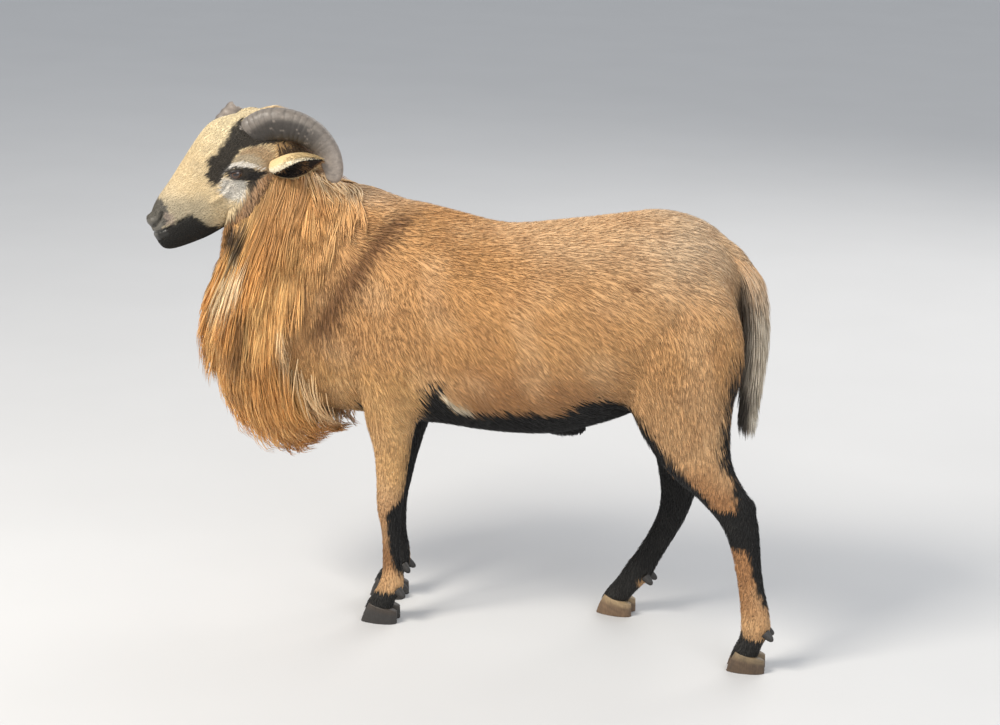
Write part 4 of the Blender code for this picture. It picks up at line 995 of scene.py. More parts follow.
def blades(paths, outward, widths, thickness, profile):
    """Points and triangles of many blades: rings of three points, closed at the root, and a tip.

    The profile is the share of width and thickness at each step of a path, and 0 at the tip.
    """
    count, steps = paths.shape[:2]
    along = unit(np.gradient(paths, axis=1))
    across = unit(np.cross(along, outward))
    lift = np.cross(across, along)
    half = np.multiply.outer(widths / 2, profile)[..., None]
    thick = np.multiply.outer(np.broadcast_to(thickness, count), profile)[..., None]
    ring = np.stack([
        paths + across * half - lift * thick * 0.4,
        paths + lift * thick * 0.6,
        paths - across * half - lift * thick * 0.4,
    ], axis=2)[:, :-1]
    points = np.concatenate([ring.reshape(count, -1, 3), paths[:, -1:]], axis=1)
    per = 3 * (steps - 1) + 1
    faces = [(0, 1, 2)]
    for step in range(steps - 2):
        for k in range(3):
            a, b = 3 * step + k, 3 * step + (k + 1) % 3
            faces += [(a, a + 3, b + 3), (a, b + 3, b)]
    last = 3 * (steps - 2)
    faces += [(last + k, per - 1, last + (k + 1) % 3) for k in range(3)]
    faces = np.array(faces)[None] + per * np.arange(count)[:, None, None]
    return points, faces.reshape(-1, 3)


def lay_map(mesh, places, per):
    """The map of a coat piece: a tuft is a patch 0.003 across, where its root lies on the flat skin."""
    low, high = places.min(axis=0), places.max(axis=0)
    root = 0.01 + 0.975 * (places - low) / np.maximum(high - low, 1e-9)
    step = np.arange(per)
    offset = np.stack([(step % 3) / 2, step / (per - 1)], axis=-1) * 0.003
    spots = (root[:, None, :] + offset[None]).reshape(-1, 2).astype(np.float32)
    corners = np.empty(len(mesh.loops), np.int32)
    mesh.loops.foreach_get("vertex_index", corners)
    layer = mesh.uv_layers.new(name="OFBake")
    layer.data.foreach_set("uv", spots[corners].ravel())


def add_coat(name, paths, outward, widths, thickness, profile, colours, painted_shades, places, material):
    """Adds one piece of coat: blades, a colour for each tuft or each step along it, and their map.

    Colours are multiplied by the painted shades, which run from the root to the tip: painted
    shade darkens a tuft toward its root. Places are where the roots lie on the flat skin.
    """
    points, faces = blades(paths, outward, widths, thickness, profile)
    per = points.shape[1]
    steps = paths.shape[1]
    # Painted shade toward the root of each tuft, a little lighter toward its tip.
    painted_ring_shade = np.interp(np.linspace(0, 1, steps), np.linspace(0, 1, len(painted_shades)), painted_shades)
    each_step = colours if colours.ndim == 3 else colours[:, None, :]
    rings = np.broadcast_to(each_step, (len(paths), steps, 3)) * painted_ring_shade[None, :, None]
    tint = np.concatenate([np.repeat(rings[:, :-1], 3, axis=1), rings[:, -1:]], axis=1)
    piece = add_piece(name, points.reshape(-1, 3), [faces], material, tint.reshape(-1, 3))
    lay_map(piece.data, places, per)
    return piece


def scatter(hide, count, chance, draw):
    """Roots spread evenly over a hide: steps of equal area along its faces, moved a little at random.

    A hide is its points, quads, normals and the table of its nearest points. Chance is how
    densely each face is covered, and 0 where it is bare.
    """
    points, quads, normals, _ = hide
    a, b, c, d = (points[quads[:, k]] for k in range(4))
    area = np.linalg.norm(np.cross(c - a, d - b), axis=1) / 2 * chance
    total = np.cumsum(area)
    stops = (np.arange(count) + draw.uniform(0, 1, count)) / count * total[-1]
    face = np.minimum(np.searchsorted(total, stops), len(quads) - 1)
    u, v = draw.uniform(0, 1, (2, count, 1))
    spot = (1 - v) * ((1 - u) * a[face] + u * b[face]) + v * ((1 - u) * d[face] + u * c[face])
    return spot, unit(normals[quads[face]].mean(axis=1))


def near_table(points, cell):
    """A box of small cells, each holding the number of a skin point near its middle.

    Four times over, each cell takes its neighbour's point where that one is nearer.
    """
    low = points.min(axis=0) - 4 * cell
    shape = np.ceil((points.max(axis=0) + 4 * cell - low) / cell).astype(int)
    table = np.full(shape, -1, np.int32)
    spot = ((points - low) / cell).astype(int)
    table[spot[:, 0], spot[:, 1], spot[:, 2]] = np.arange(len(points))
    middle = np.stack(np.meshgrid(*[np.arange(n) for n in shape], indexing="ij"), axis=-1) * cell
    middle += low + cell / 2
    for _ in range(4):
        for axis in range(3):
            for step in (-1, 1):
                other = np.roll(table, step, axis=axis)
                now = np.where(table >= 0, np.linalg.norm(points[table] - middle, axis=-1), np.inf)
                then = np.where(other >= 0, np.linalg.norm(points[other] - middle, axis=-1), np.inf)
                table = np.where(then < now, other, table)
    return low, cell, table


def lift_to(hide, places, height):
    """Moves places, by up to 2 cm, to a wanted height over the hide along its nearest normal."""
    points, _, normals, (low, cell, cells) = hide
    spot = ((places - low) / cell).astype(int)
    spot = np.clip(spot, 0, np.array(cells.shape) - 1)
    near = cells[spot[..., 0], spot[..., 1], spot[..., 2]]
    normal = normals[near]
    now = np.einsum("...k,...k->...", places - points[near], normal)
    move = np.where(near >= 0, height - now, 0)
    return places + np.clip(move, -0.02, 0.02)[..., None] * normal


def tone_chances(draw, deviation, count):
    """A brightness for each tuft, 1 on average."""
    return draw.normal(1.0, deviation, count).clip(0.7, 1.3)[:, None]


def along_skin(ways, normals):
    """The part of each way that lies along the skin, one long."""
    return unit(ways - np.einsum("ij,ij->i", ways, normals)[:, None] * normals)


def flat_paths(hide, spots, normals, lie, lengths, heights, steps=3):
    """Paths of tufts that lie along a hide: from a sunk root, they rise to a small height at the tip."""
    way = along_skin(lie, normals)
    part = np.linspace(0, 1, steps)
    paths = spots[:, None, :] + lengths[:, None, None] * part[None, :, None] * way[:, None, :]
    return lift_to(hide, paths, heights[:, None] * (1.25 * part - 0.25))


# Body coat
# Short flat hair on trunk and legs: 2 cm long on the flanks, 1 cm on the shins. It lies
# back and down over the ribs and shoulder, straight down on the legs.

# Place along of the mane's rear edge, by height.
MANE_EDGE = (
    (0.20, -0.330), (0.33, -0.318), (0.42, -0.350), (0.48, -0.376), (0.533, -0.352), (0.597, -0.310),
    (0.70, -0.262),
)


def body_lie(points):
    """The way the body's hair points, from its place: back, inward under the belly, and down."""
    x, y, z = points.T
    down = 0.25 + 0.55 * ease(0.64, 0.50, z)
    down += 0.9 * ease(-0.12, -0.24, x) * ease(0.64, 0.54, z)
    thigh = ease(0.12, 0.22, x) * ease(0.60, 0.48, z)
    near_cheek = ease(-0.30, -0.35, x)
    down = down + 1.4 * thigh + 5.0 * ease(0.34, 0.28, z) + 1.2 * near_cheek
    back = 1.0 - 0.55 * thigh - 0.75 * ease(0.36, 0.28, z)
    inward = -0.25 * np.sign(y) * ease(0.40, 0.34, z) * (z > 0.3)
    turn = 0.22 * wobble(points, 0.05, 31)
    return unit(np.stack([back * (1 - 0.5 * near_cheek) + turn, inward, -down], axis=-1))


# One generator draws all that is left to chance in the coat, in the order of this file.
draw = np.random.default_rng(7)
body_hide = (body_points, body_quads, body_normals, near_table(body_points, cell=0.006))

# The mane, the hooves and the tail below its root grow no short hair. The legs grow it closer.
x, y, z = body_points[body_quads].mean(axis=1).T
in_mane = x < on_line(z, MANE_EDGE) - 0.070
in_mane &= behind_mane_start(np.stack([x, y, z], axis=-1)) > 0.030
in_hoof = z < 0.026
in_tail = (x > 0.262) & (np.abs(y) < 0.024) & (z > 0.34) & (z < 0.585)
chance = np.where(in_mane | in_hoof | in_tail, 0.0, 1.0)
chance *= 1.0 + 0.8 * ease(0.32, 0.22, z)
BODY_TUFTS = 60000
spots, normals = scatter(body_hide, BODY_TUFTS, chance, draw)
low_down = np.maximum(ease(0.40, 0.22, spots[:, 2]), 0.8 * ease(0.03, -0.01, behind_mane_start(spots)))
lengths = (0.0225 - 0.0130 * low_down) * draw.uniform(0.75, 1.25, BODY_TUFTS)
widths = (0.0017 - 0.0005 * low_down) * draw.uniform(0.7, 1.3, BODY_TUFTS)
heights = (0.0033 - 0.0019 * low_down) * draw.uniform(0.4, 1.3, BODY_TUFTS)
thickness = 0.00045 - 0.00015 * low_down
lie = body_lie(spots) + draw.normal(0, 0.07, (BODY_TUFTS, 3))
paths = flat_paths(body_hide, spots, normals, lie, lengths, heights)
colours = body_paint(spots) * tone_chances(draw, 0.075, BODY_TUFTS)

# The coat is cut in eight pieces. A trunk piece is laid flat round the trunk's middle line,
# a leg piece round the leg's.
x, y, z = spots.T
fore_limb = (x < -0.12) & (z < 0.36)
hind_limb = (x > 0.05) & (z < 0.40)
trunk = ~fore_limb & ~hind_limb
regions = {
    "coat_trunk_left_front": trunk & (y < 0) & (x < -0.03),
    "coat_trunk_left_rear": trunk & (y < 0) & (x >= -0.03),
    "coat_trunk_right_front": trunk & (y >= 0) & (x < -0.03),
    "coat_trunk_right_rear": trunk & (y >= 0) & (x >= -0.03),
    "coat_foreleg_left": fore_limb & (y < 0),
    "coat_foreleg_right": fore_limb & (y >= 0),
    "coat_hindleg_left": hind_limb & (y < 0),
    "coat_hindleg_right": hind_limb & (y >= 0),
}
for name, mine in regions.items():
    if "trunk" in name:
        places = np.stack([x, np.arctan2(np.abs(y), z - 0.49)], axis=-1)[mine]
    else:
        rear, out = leg_place(spots, LEGS[name.replace("coat_", "")])
        places = np.stack([np.arctan2(rear, out), z], axis=-1)[mine]
    add_coat(
        name, paths[mine], normals[mine, None, :], widths[mine], thickness[mine], profile=(0.7, 1.0, 0.0),
        colours=colours[mine], painted_shades=(0.84, 1.0, 1.08), places=places, material=SHORT_HAIR,
    )

# Face coat
# The shortest hair of all, 8 mm long on brow and cheek and 5 mm on the muzzle. It runs
# back from the nose, and is left out on the nose pad, the lids and the back of the skull.

FACE_TUFTS = 24000
head_hide = (head_points, head_quads, head_normals, near_table(head_points, cell=0.0035))
centre = head_points[head_quads].mean(axis=1)
forward, high, left = head_parts(centre).T
bare = np.zeros(len(centre), bool)
for side in (1, -1):
    along, across, out = eye_plane(centre, side)
    bare |= (almond(along, across) > -0.0022) & (out > 0)
bare |= (forward > 0.226) & (high < 0.040) & (high > 0.008)
chance = np.where(bare | (forward < -0.012), 0.0, 1.0)
spots, normals = scatter(head_hide, FACE_TUFTS, chance, draw)
forward, high, left = head_parts(spots).T
fall = 0.10 + 0.55 * ease(0.03, -0.02, high)
lie = -HEAD_FORWARD - fall[:, None] * HEAD_UP + draw.normal(0, 0.07, (FACE_TUFTS, 3))
lie += 0.15 * wobble(spots, 0.03, 41)[:, None] * HEAD_UP
fine = ease(0.12, 0.20, forward)
lengths = (0.0075 - 0.0030 * fine) * draw.uniform(0.7, 1.3, FACE_TUFTS)
widths = (0.00105 - 0.0003 * fine) * draw.uniform(0.7, 1.3, FACE_TUFTS)
heights = (0.0010 - 0.0005 * fine) * draw.uniform(0.4, 1.2, FACE_TUFTS)
paths = flat_paths(head_hide, spots, normals, lie, lengths, heights)
colours = face_paint(spots) * tone_chances(draw, 0.06, FACE_TUFTS)
for name, mine in (("coat_face_left", left > 0), ("coat_face_right", left <= 0)):
    places = np.stack([forward, np.arctan2(high - 0.02, np.abs(left))], axis=-1)[mine]
    add_coat(
        name, paths[mine], normals[mine, None, :], widths[mine], thickness=0.00025, profile=(0.7, 1.0, 0.0),
        colours=colours[mine], painted_shades=(0.90, 1.0, 1.05), places=places, material=SHORT_HAIR,
    )

# Mane
# Long golden hair on neck, throat and chest, up to 15 cm under the throat. It hangs in
# locks: their hairs start apart on the skin and close up to a point.

MANE_GOLD = linear("#dc9f5a")
MANE_LIGHT = linear("#f0c27e")
MANE_WHITE = linear("#f8e6c0")
MANE_BROWN = linear("#a8713f")
MANE_ORANGE = linear("#c98844")
MANE_UMBER = linear("#8f6a44")
MANE_SHADE = linear("#7d5530")
MANE_DUSK = linear("#4a3323")
# Marks of the mane, one over the other, in mm right of and above the eye. The last is the
# shade under the horn, which darkens the hair on the back of the skull as well.
UNDER_HORN = ((40, 66), (130, 66), (124, 34), (90, 28), (58, 34))
MANE_MARKS = (
    (BLACK_HAIR, 12.0, 0.92, (
        (-38, -70), (8, -76), (13, -100), (14, -126), (2, -148), (-16, -136), (-28, -108),
    )),
    (MANE_ORANGE, 12.0, 0.60, (
        (24, -170), (33, -192), (-9, -237), (-33, -260), (-54, -249), (-36, -230), (-15, -216),
    )),
    (MANE_WHITE, 9.0, 0.66, (
        (-9, -153), (7, -158), (5, -192), (-21, -222), (-46, -224), (-50, -204), (-32, -177),
    )),
    (MANE_SHADE, 9.0, 0.80, ((0, -222), (20, -232), (10, -283), (-6, -303), (-20, -294), (-12, -258))),
    (MANE_LIGHT, 12.0, 0.60, ((21, -188), (49, -200), (54, -240), (36, -283), (21, -301), (12, -271))),
    (MANE_WHITE, 12.0, 0.45, (
        (61, -252), (82, -258), (116, -319), (158, -345), (175, -385), (140, -395), (106, -372), (85, -328),
        (67, -298),
    )),
    (MANE_WHITE, 24.0, 0.34, ((112, -4), (205, -10), (200, -44), (150, -38))),
    (MANE_DUSK, 14.0, 0.80, UNDER_HORN),
)
GOLDEN_RATIO = 0.618034
MANE_LOCKS = 1120
HAIRS_PER_LOCK = 14
MANE_STEPS = 6


def mane_paths(along, angle, turn, drift, size, spread_along, spread_angle):
    """Paths of mane hairs: along and round the neck, rising from the under-hair to the tips.

    Turn and drift are how far a hair falls round and along the neck, size is its share of the
    mane's depth, and the two spreads are its place in the lock, which close up to the tip.
    """
    part = np.linspace(0, 1, MANE_STEPS)[None, :]
    close = 1 - 0.78 * part
    way_along = along[:, None] + drift[:, None] * part ** 1.1 + spread_along[:, None] * close
    way_along = np.clip(way_along, 0.0, 1.0)
    way_round = angle[:, None] + turn[:, None] * part + spread_angle[:, None] * close
    flesh = neck_point(way_along, way_round, np.zeros(way_along.shape))
    depth = neck_point(way_along, way_round, np.ones(way_along.shape)) - flesh
    reach = np.linalg.norm(depth, axis=-1)
    root = core_share(along)[:, None] - 0.004 / reach[:, :1]
    height = root + (0.97 * size[:, None] - root) * (1 - (1 - part) ** 1.9)
    return flesh + height[..., None] * depth, depth / reach[..., None]


# Where each lock starts round the neck, in degrees from the crest, and how far along it:
# steps of the golden ratio leave no rows.
start = np.degrees(np.arccos(1 - 2 * (np.arange(MANE_LOCKS) + 0.5) / MANE_LOCKS))
start = start + draw.uniform(-3, 3, MANE_LOCKS)
side = np.where(np.arange(MANE_LOCKS) % 2 == 0, 1.0, -1.0)
last = np.interp(start, (0, 30, 60, 90, 115, 130, 180), (0.66, 0.62, 0.54, 0.49, 0.62, 0.76, 0.82))
along = 0.015 + (last - 0.015) * ((np.arange(MANE_LOCKS) * GOLDEN_RATIO) % 1.0)

# How far each lock falls and how long it is: shorter on the crest, toward the back and at
# the front, longest low on the chest.
fall = np.interp(start, (0, 20, 45, 90, 130, 160, 180), (14, 26, 34, 36, 30, 24, 12))
fall = fall * draw.uniform(0.8, 1.2, MANE_LOCKS)
drift = np.interp(start, (0, 180), (0.17, 0.11)) * draw.uniform(0.8, 1.25, MANE_LOCKS)
size = draw.uniform(0.77, 1.0, MANE_LOCKS) * (1 - 0.25 * ease(35, 5, start))
toward_back = ease(0.34, 0.54, along) * ease(85, 50, start)
size = size * (1 - 0.64 * toward_back)
drift = drift * (1 - 0.30 * toward_back)
size = size * (1 - 0.14 * ease(85, 100, start) * ease(138, 120, start) * ease(0.60, 0.40, along))
size = size * (1 - 0.20 * ease(118, 140, start) * ease(0.55, 0.40, along))
longer = 0.22 * ease(130, 150, start) * ease(0.55, 0.68, along)
shorter = 0.50 * ease(0.66, 0.80, along) * ease(105, 125, start)
size = size * (1 + longer - shorter)
lock_tone = draw.normal(1.0, 0.085, MANE_LOCKS)


def per_hair(values):
    """One value of each lock, repeated for its hairs."""
    return np.repeat(values, HAIRS_PER_LOCK)


hairs = MANE_LOCKS * HAIRS_PER_LOCK
lock_along, lock_angle = per_hair(along), per_hair(np.radians(start) * side)
lock_root = neck_point(along, np.radians(start) * side, core_share(along))
short = 1 - 0.45 * ease(0.035, 0.0, behind_mane_start(lock_root))
paths, outward = mane_paths(
    lock_along, lock_angle, turn=per_hair(np.radians(fall) * side),
    drift=per_hair(drift) * draw.uniform(0.85, 1.15, hairs),
    size=per_hair(size * short) * draw.uniform(0.88, 1.04, hairs),
    spread_along=draw.normal(0, 0.022, hairs), spread_angle=draw.normal(0, 0.085, hairs),
)
part = np.linspace(0, 1, MANE_STEPS)
paths += 0.0014 * draw.normal(size=(hairs, 1, 3)) * part[None, :, None]
wave = per_hair(draw.uniform(0, 2 * np.pi, MANE_LOCKS))[:, None] + 5.5 * part
paths[..., 0] += 0.0042 * np.sin(wave) * part
paths[..., 1] += 0.0026 * np.cos(wave) * part

# Tones at the root, called gold, and at the tip: each area blends both toward its own tones.
root = paths[:, 0]
turned = np.degrees(np.abs(lock_angle))
gold = blend(MANE_GOLD, MANE_LIGHT, np.clip(0.45 + 0.45 * wobble(root, 0.05, 51), 0, 1))
height = root[:, 2]
tip_tone = blend(gold, MANE_ORANGE, 0.45 * ease(0.60, 0.48, height))
upper = ease(0.640, 0.670, height) * ease(8, 20, turned) * ease(120, 100, turned)
upper = upper * (0.45 + 0.55 * ease(0.46, 0.34, lock_along))
upper_tips = 0.30 * upper + 0.42 * upper * ease(0.665, 0.695, height)
crest = ease(24, 8, turned)
back_edge = ease(0.36, 0.54, lock_along) * ease(85, 50, turned)
ear_shade = ease(0.24, 0.10, lock_along) * ease(30, 48, turned) * ease(115, 95, turned)
for root_colour, root_share, tip_colour, tip_share in (
    (MANE_UMBER, 0.66 * upper, MANE_BROWN, upper_tips),
    (MANE_WHITE, 0.28 * crest, MANE_WHITE, 0.10 * crest),
    (TAN, 0.50 * back_edge, TAN, 0.80 * back_edge),
    (MANE_UMBER, 0.60 * ear_shade, MANE_BROWN, 0.35 * ear_shade),
):
    gold = blend(gold, root_colour, root_share)
    tip_tone = blend(tip_tone, tip_colour, tip_share)
# The lowest hair, which faces down, is painted lighter: painted light.
low = (1 + 0.18 * ease(0.46, 0.40, height))[:, None]
gold, tip_tone = gold * low, tip_tone * low
gold = blend(gold, MANE_SHADE, 0.25 * ease(0.3, 1.0, wobble(root, 0.028, 55)))
hair_tone = (per_hair(lock_tone) * draw.normal(1.0, 0.06, hairs)).clip(0.6, 1.4)
mane_tones = gold[:, None] + (tip_tone - gold)[:, None] * part[None, :, None]
across, up = from_eye(paths)
ragged = (7 * wobble(root, 0.011, 53) + 4 * wobble(root, 0.004, 54))[:, None]
mane_tones = add_marks(mane_tones, across, up, ragged, MANE_MARKS) * hair_tone[:, None, None]
widths = 0.0021 * draw.uniform(0.7, 1.35, hairs)
grows = behind_mane_start(root) > 0

# The hairs are cut in three pieces of one size, from the right side to the left.
order = np.argsort(per_hair(side) * 1000 + per_hair(along), kind="stable")
blocks = np.array_split(order[grows[order]], 3)
for name, mine in zip(("mane_right", "mane_middle", "mane_left"), blocks):
    places = np.stack([lock_along, lock_angle], axis=-1)[mine]
    add_coat(
        name, paths[mine], outward[mine], widths[mine], thickness=0.0007,
        profile=(0.8, 1.0, 1.0, 0.9, 0.65, 0.0), colours=mane_tones[mine], painted_shades=(0.80, 0.98, 1.05, 1.08),
        places=places, material=LONG_HAIR,
    )

# The fringe: hair 3 cm long where the mane starts behind jaw and cheek, mostly on
# the neck's skin and partly on the head's. It hides the line between the two.
FRINGE_HAIRS = 5200
FRINGE_STEPS = 4
for name, hide, share, first in (
    ("mane_fringe_neck", body_hide, 0.72, -0.024),
    ("mane_fringe_head", head_hide, 0.28, -0.010),
):
    points, quads = hide[:2]
    centre = points[quads].mean(axis=1)
    start_gap = behind_mane_start(centre)
    across, up = from_eye(centre)
    chance = ease(first, first + 0.006, start_gap) * ease(0.050, 0.040, start_gap)
    chance *= ease(-150, -135, up) * ease(58, 40, up)
    count = int(FRINGE_HAIRS * share)
    spots, normals = scatter(hide, count, chance, draw)
    lie = np.array([0.42, 0.0, -1.0]) + draw.normal(0, 0.10, (count, 3))
    lengths = 0.030 * draw.uniform(0.7, 1.3, count)
    lengths *= 0.60 + 0.40 * ease(-0.010, 0.015, behind_mane_start(spots))
    heights = 0.0046 * draw.uniform(0.4, 1.3, count)
    paths = flat_paths(hide, spots, normals, lie, lengths, heights, FRINGE_STEPS)
    across, up = from_eye(spots)
    tones = blend(CHEEK, MANE_GOLD, ease(-50, -90, up) * 0.85 + 0.10 * ease(10, 40, across))
    tones = blend(tones, MANE_UMBER, 0.8 * ease(24, 44, across) * ease(-70, -40, up))
    # Under the horn the fringe is painted near black: painted shade of the horn.
    tones = blend(tones, BLACK_HAIR, 0.8 * ease(26, 40, up) * ease(30, 44, across))
    tones = blend(tones, BLACK_HAIR, 0.9 * throat_stripe(spots)) * tone_chances(draw, 0.07, count)
    add_coat(
        name, paths, normals[:, None, :], 0.0014 * draw.uniform(0.7, 1.3, count), thickness=0.00035,
        profile=(0.7, 1.0, 0.9, 0.0), colours=tones, painted_shades=(0.88, 1.0, 1.06),
        places=np.stack([across, up], axis=-1) / 1000, material=LONG_HAIR,
    )

# The crest: hair on the back of the skull that falls between the horns to the nape.
CREST_HAIRS = 1700
centre = head_points[head_quads].mean(axis=1)
forward, high, left = head_parts(centre).T
chance = ease(0.012, -0.004, forward) * ease(-0.045, -0.030, high)
spots, normals = scatter(head_hide, CREST_HAIRS, chance, draw)
lie = -0.75 * HEAD_FORWARD - HEAD_UP + draw.normal(0, 0.16, (CREST_HAIRS, 3))
forward, high, left = head_parts(spots).T
lengths = 0.034 * draw.uniform(0.7, 1.3, CREST_HAIRS)
heights = 0.0080 * draw.uniform(0.3, 1.2, CREST_HAIRS) * ease(0.012, -0.010, forward)
paths = flat_paths(head_hide, spots, normals, lie, lengths, heights, FRINGE_STEPS)
tones = blend(CREAM, CROWN, np.clip(ease(0.006, -0.022, forward) + 0.3 * wobble(spots, 0.03, 57), 0, 1))
tones = blend(tones, MANE_DUSK, 0.85 * ease(-7, 7, inside_outline(*from_eye(spots), UNDER_HORN)))
tones = tones * tone_chances(draw, 0.08, CREST_HAIRS)
widths = 0.0018 * draw.uniform(0.7, 1.3, CREST_HAIRS)
add_coat(
    "mane_crest", paths, normals[:, None, :], widths, thickness=0.0004, profile=(0.7, 1.0, 0.9, 0.0),
    colours=tones, painted_shades=(0.85, 1.0, 1.06), places=np.stack([left, high], axis=-1),
    material=LONG_HAIR,
)

# Tail
# A thin tail that hangs to just above the hocks, with hair 5 cm long down its length. The
# hair is grey-buff behind, dark toward the thighs, darkest low down, and pale at the very tip.

TAIL_BUFF = linear("#d8c9b2")
TAIL_TAN = linear("#cfa578")
TAIL_DARK = linear("#3a322a")
TAIL_PALE = linear("#ddd5c6")
TAIL_HAIRS = 3600
TAIL_STEPS = 5

# Level is a place along the rows of the tail's core, 0 at its root and 6 at its end; hairs
# that reach past the end hang on below it and close up.
part = np.linspace(0, 1, TAIL_STEPS)[None, :]
level = 0.2 + 5.6 * (np.arange(TAIL_HAIRS) + draw.uniform(0, 1, TAIL_HAIRS)) / TAIL_HAIRS
turn = draw.uniform(0, 2 * np.pi, TAIL_HAIRS)
reach_down = draw.uniform(0.9, 1.5, TAIL_HAIRS)[:, None] * part
core_place = level[:, None] + reach_down
core = smooth_rows(TAIL_CORE, np.clip(core_place, 0, 6).ravel()).reshape(TAIL_HAIRS, TAIL_STEPS, 5)
past = np.clip(core_place - 6, 0, None)
puff = 0.0125 * part ** 0.7 * (ease(0.2, 1.8, level) * draw.uniform(0.3, 1.0, TAIL_HAIRS))[:, None]
depth_reach = core[..., 3] * 0.85 + puff
width_reach = core[..., 4] * 0.85 + puff
shrink = 1 - 0.45 * np.clip(past / 1.5, 0, 1) ** 2
paths = np.stack([
    core[..., 0] + depth_reach * shrink * np.cos(turn)[:, None],
    width_reach * shrink * np.sin(turn)[:, None],
    core[..., 2] - past * 0.036,
], axis=-1)
outward = np.stack([np.cos(turn), np.sin(turn), np.zeros(TAIL_HAIRS)], axis=-1)[:, None, :]
inner = ease(0.3, -0.6, np.cos(turn)) * ease(0.6, 2.0, level)
tail_colours = blend(TAIL_TAN, TAIL_BUFF, ease(0.5, 3.0, level))
tail_colours = blend(tail_colours, TAIL_DARK, 0.8 * inner)
tail_colours = blend(tail_colours, TAIL_DARK, 0.30 * ease(4.2, 4.8, level) * ease(5.4, 5.0, level))
tip_inner = ease(4.3, 4.8, level) * ease(0.55, -0.1, np.cos(turn))
tail_colours = blend(tail_colours, TAIL_DARK, 0.85 * tip_inner)
tail_colours = blend(tail_colours, TAIL_PALE, 0.7 * ease(5.2, 5.6, level) * ease(0.1, 0.6, np.cos(turn)))
tail_colours = tail_colours * draw.normal(1.0, 0.12, TAIL_HAIRS).clip(0.6, 1.4)[:, None]
add_coat(
    "coat_tail", paths, outward, 0.0022 * draw.uniform(0.7, 1.3, TAIL_HAIRS), thickness=0.0006,
    profile=(0.7, 1.0, 0.95, 0.7, 0.0), colours=tail_colours, painted_shades=(0.70, 0.95, 1.08),
    places=np.stack([turn, level], axis=-1), material=LONG_HAIR,
)

# Ears
# A leaf of gristle rolled to a tube at its root, which opens to a cup. It has cream hair
# outside and a pale upper rim. Inside the cup, leaf and hair are painted near black as painted
# shade of the cup, with brown along the lower rim.

EAR_ROOT = (0.028, 0.009, 0.046)
EAR_TIP = (-0.012, -0.012, 0.088)
EAR_LENGTH = 0.084
EAR_WIDTH = 0.040
EAR_WALL = 0.0024
EAR_TUFTS = 2600
EAR_CREAM = linear("#cdb384")
EAR_RIM = linear("#eadfc4")
EAR_CUP_SHADE = linear("#2a221c")


def ear_leaf(side, steps=40, turns=29):
    """Middle surface of an ear: arcs round its length that open from a tube to a cup."""
    root, tip = on_side(EAR_ROOT, side), on_side(EAR_TIP, side)
    way = unit(tip - root)
    back = HEAD_UP * 0.56 - HEAD_LEFT * 0.56 * side - HEAD_FORWARD * 0.44
    back = unit(back - (back @ way) * way)
    edge = np.cross(way, back)
    part = np.linspace(0, 1, steps)
    width = (EAR_WIDTH / 2) * np.clip(np.sin(np.pi * (0.20 + 0.80 * part) ** 1.25), 0.05, 1) ** 0.75
    curl = np.radians(156 - 92 * part)
    swing = np.linspace(-1, 1, turns)
    angle = curl[:, None] * swing[None, :]
    radius = (width / np.sin(np.minimum(curl, math.pi / 2)))[:, None]
    bend = 0.012 * np.sin(np.pi * part * 0.9)
    middle = root + part[:, None] * EAR_LENGTH * way + bend[:, None] * back
    leaf = moved(middle[:, None, :], (radius * (np.cos(angle) - 1), back), (radius * np.sin(angle), edge))
    out = moved(0.0, (np.cos(angle), back), (np.sin(angle), edge))
    return leaf, out, part, swing, way, edge


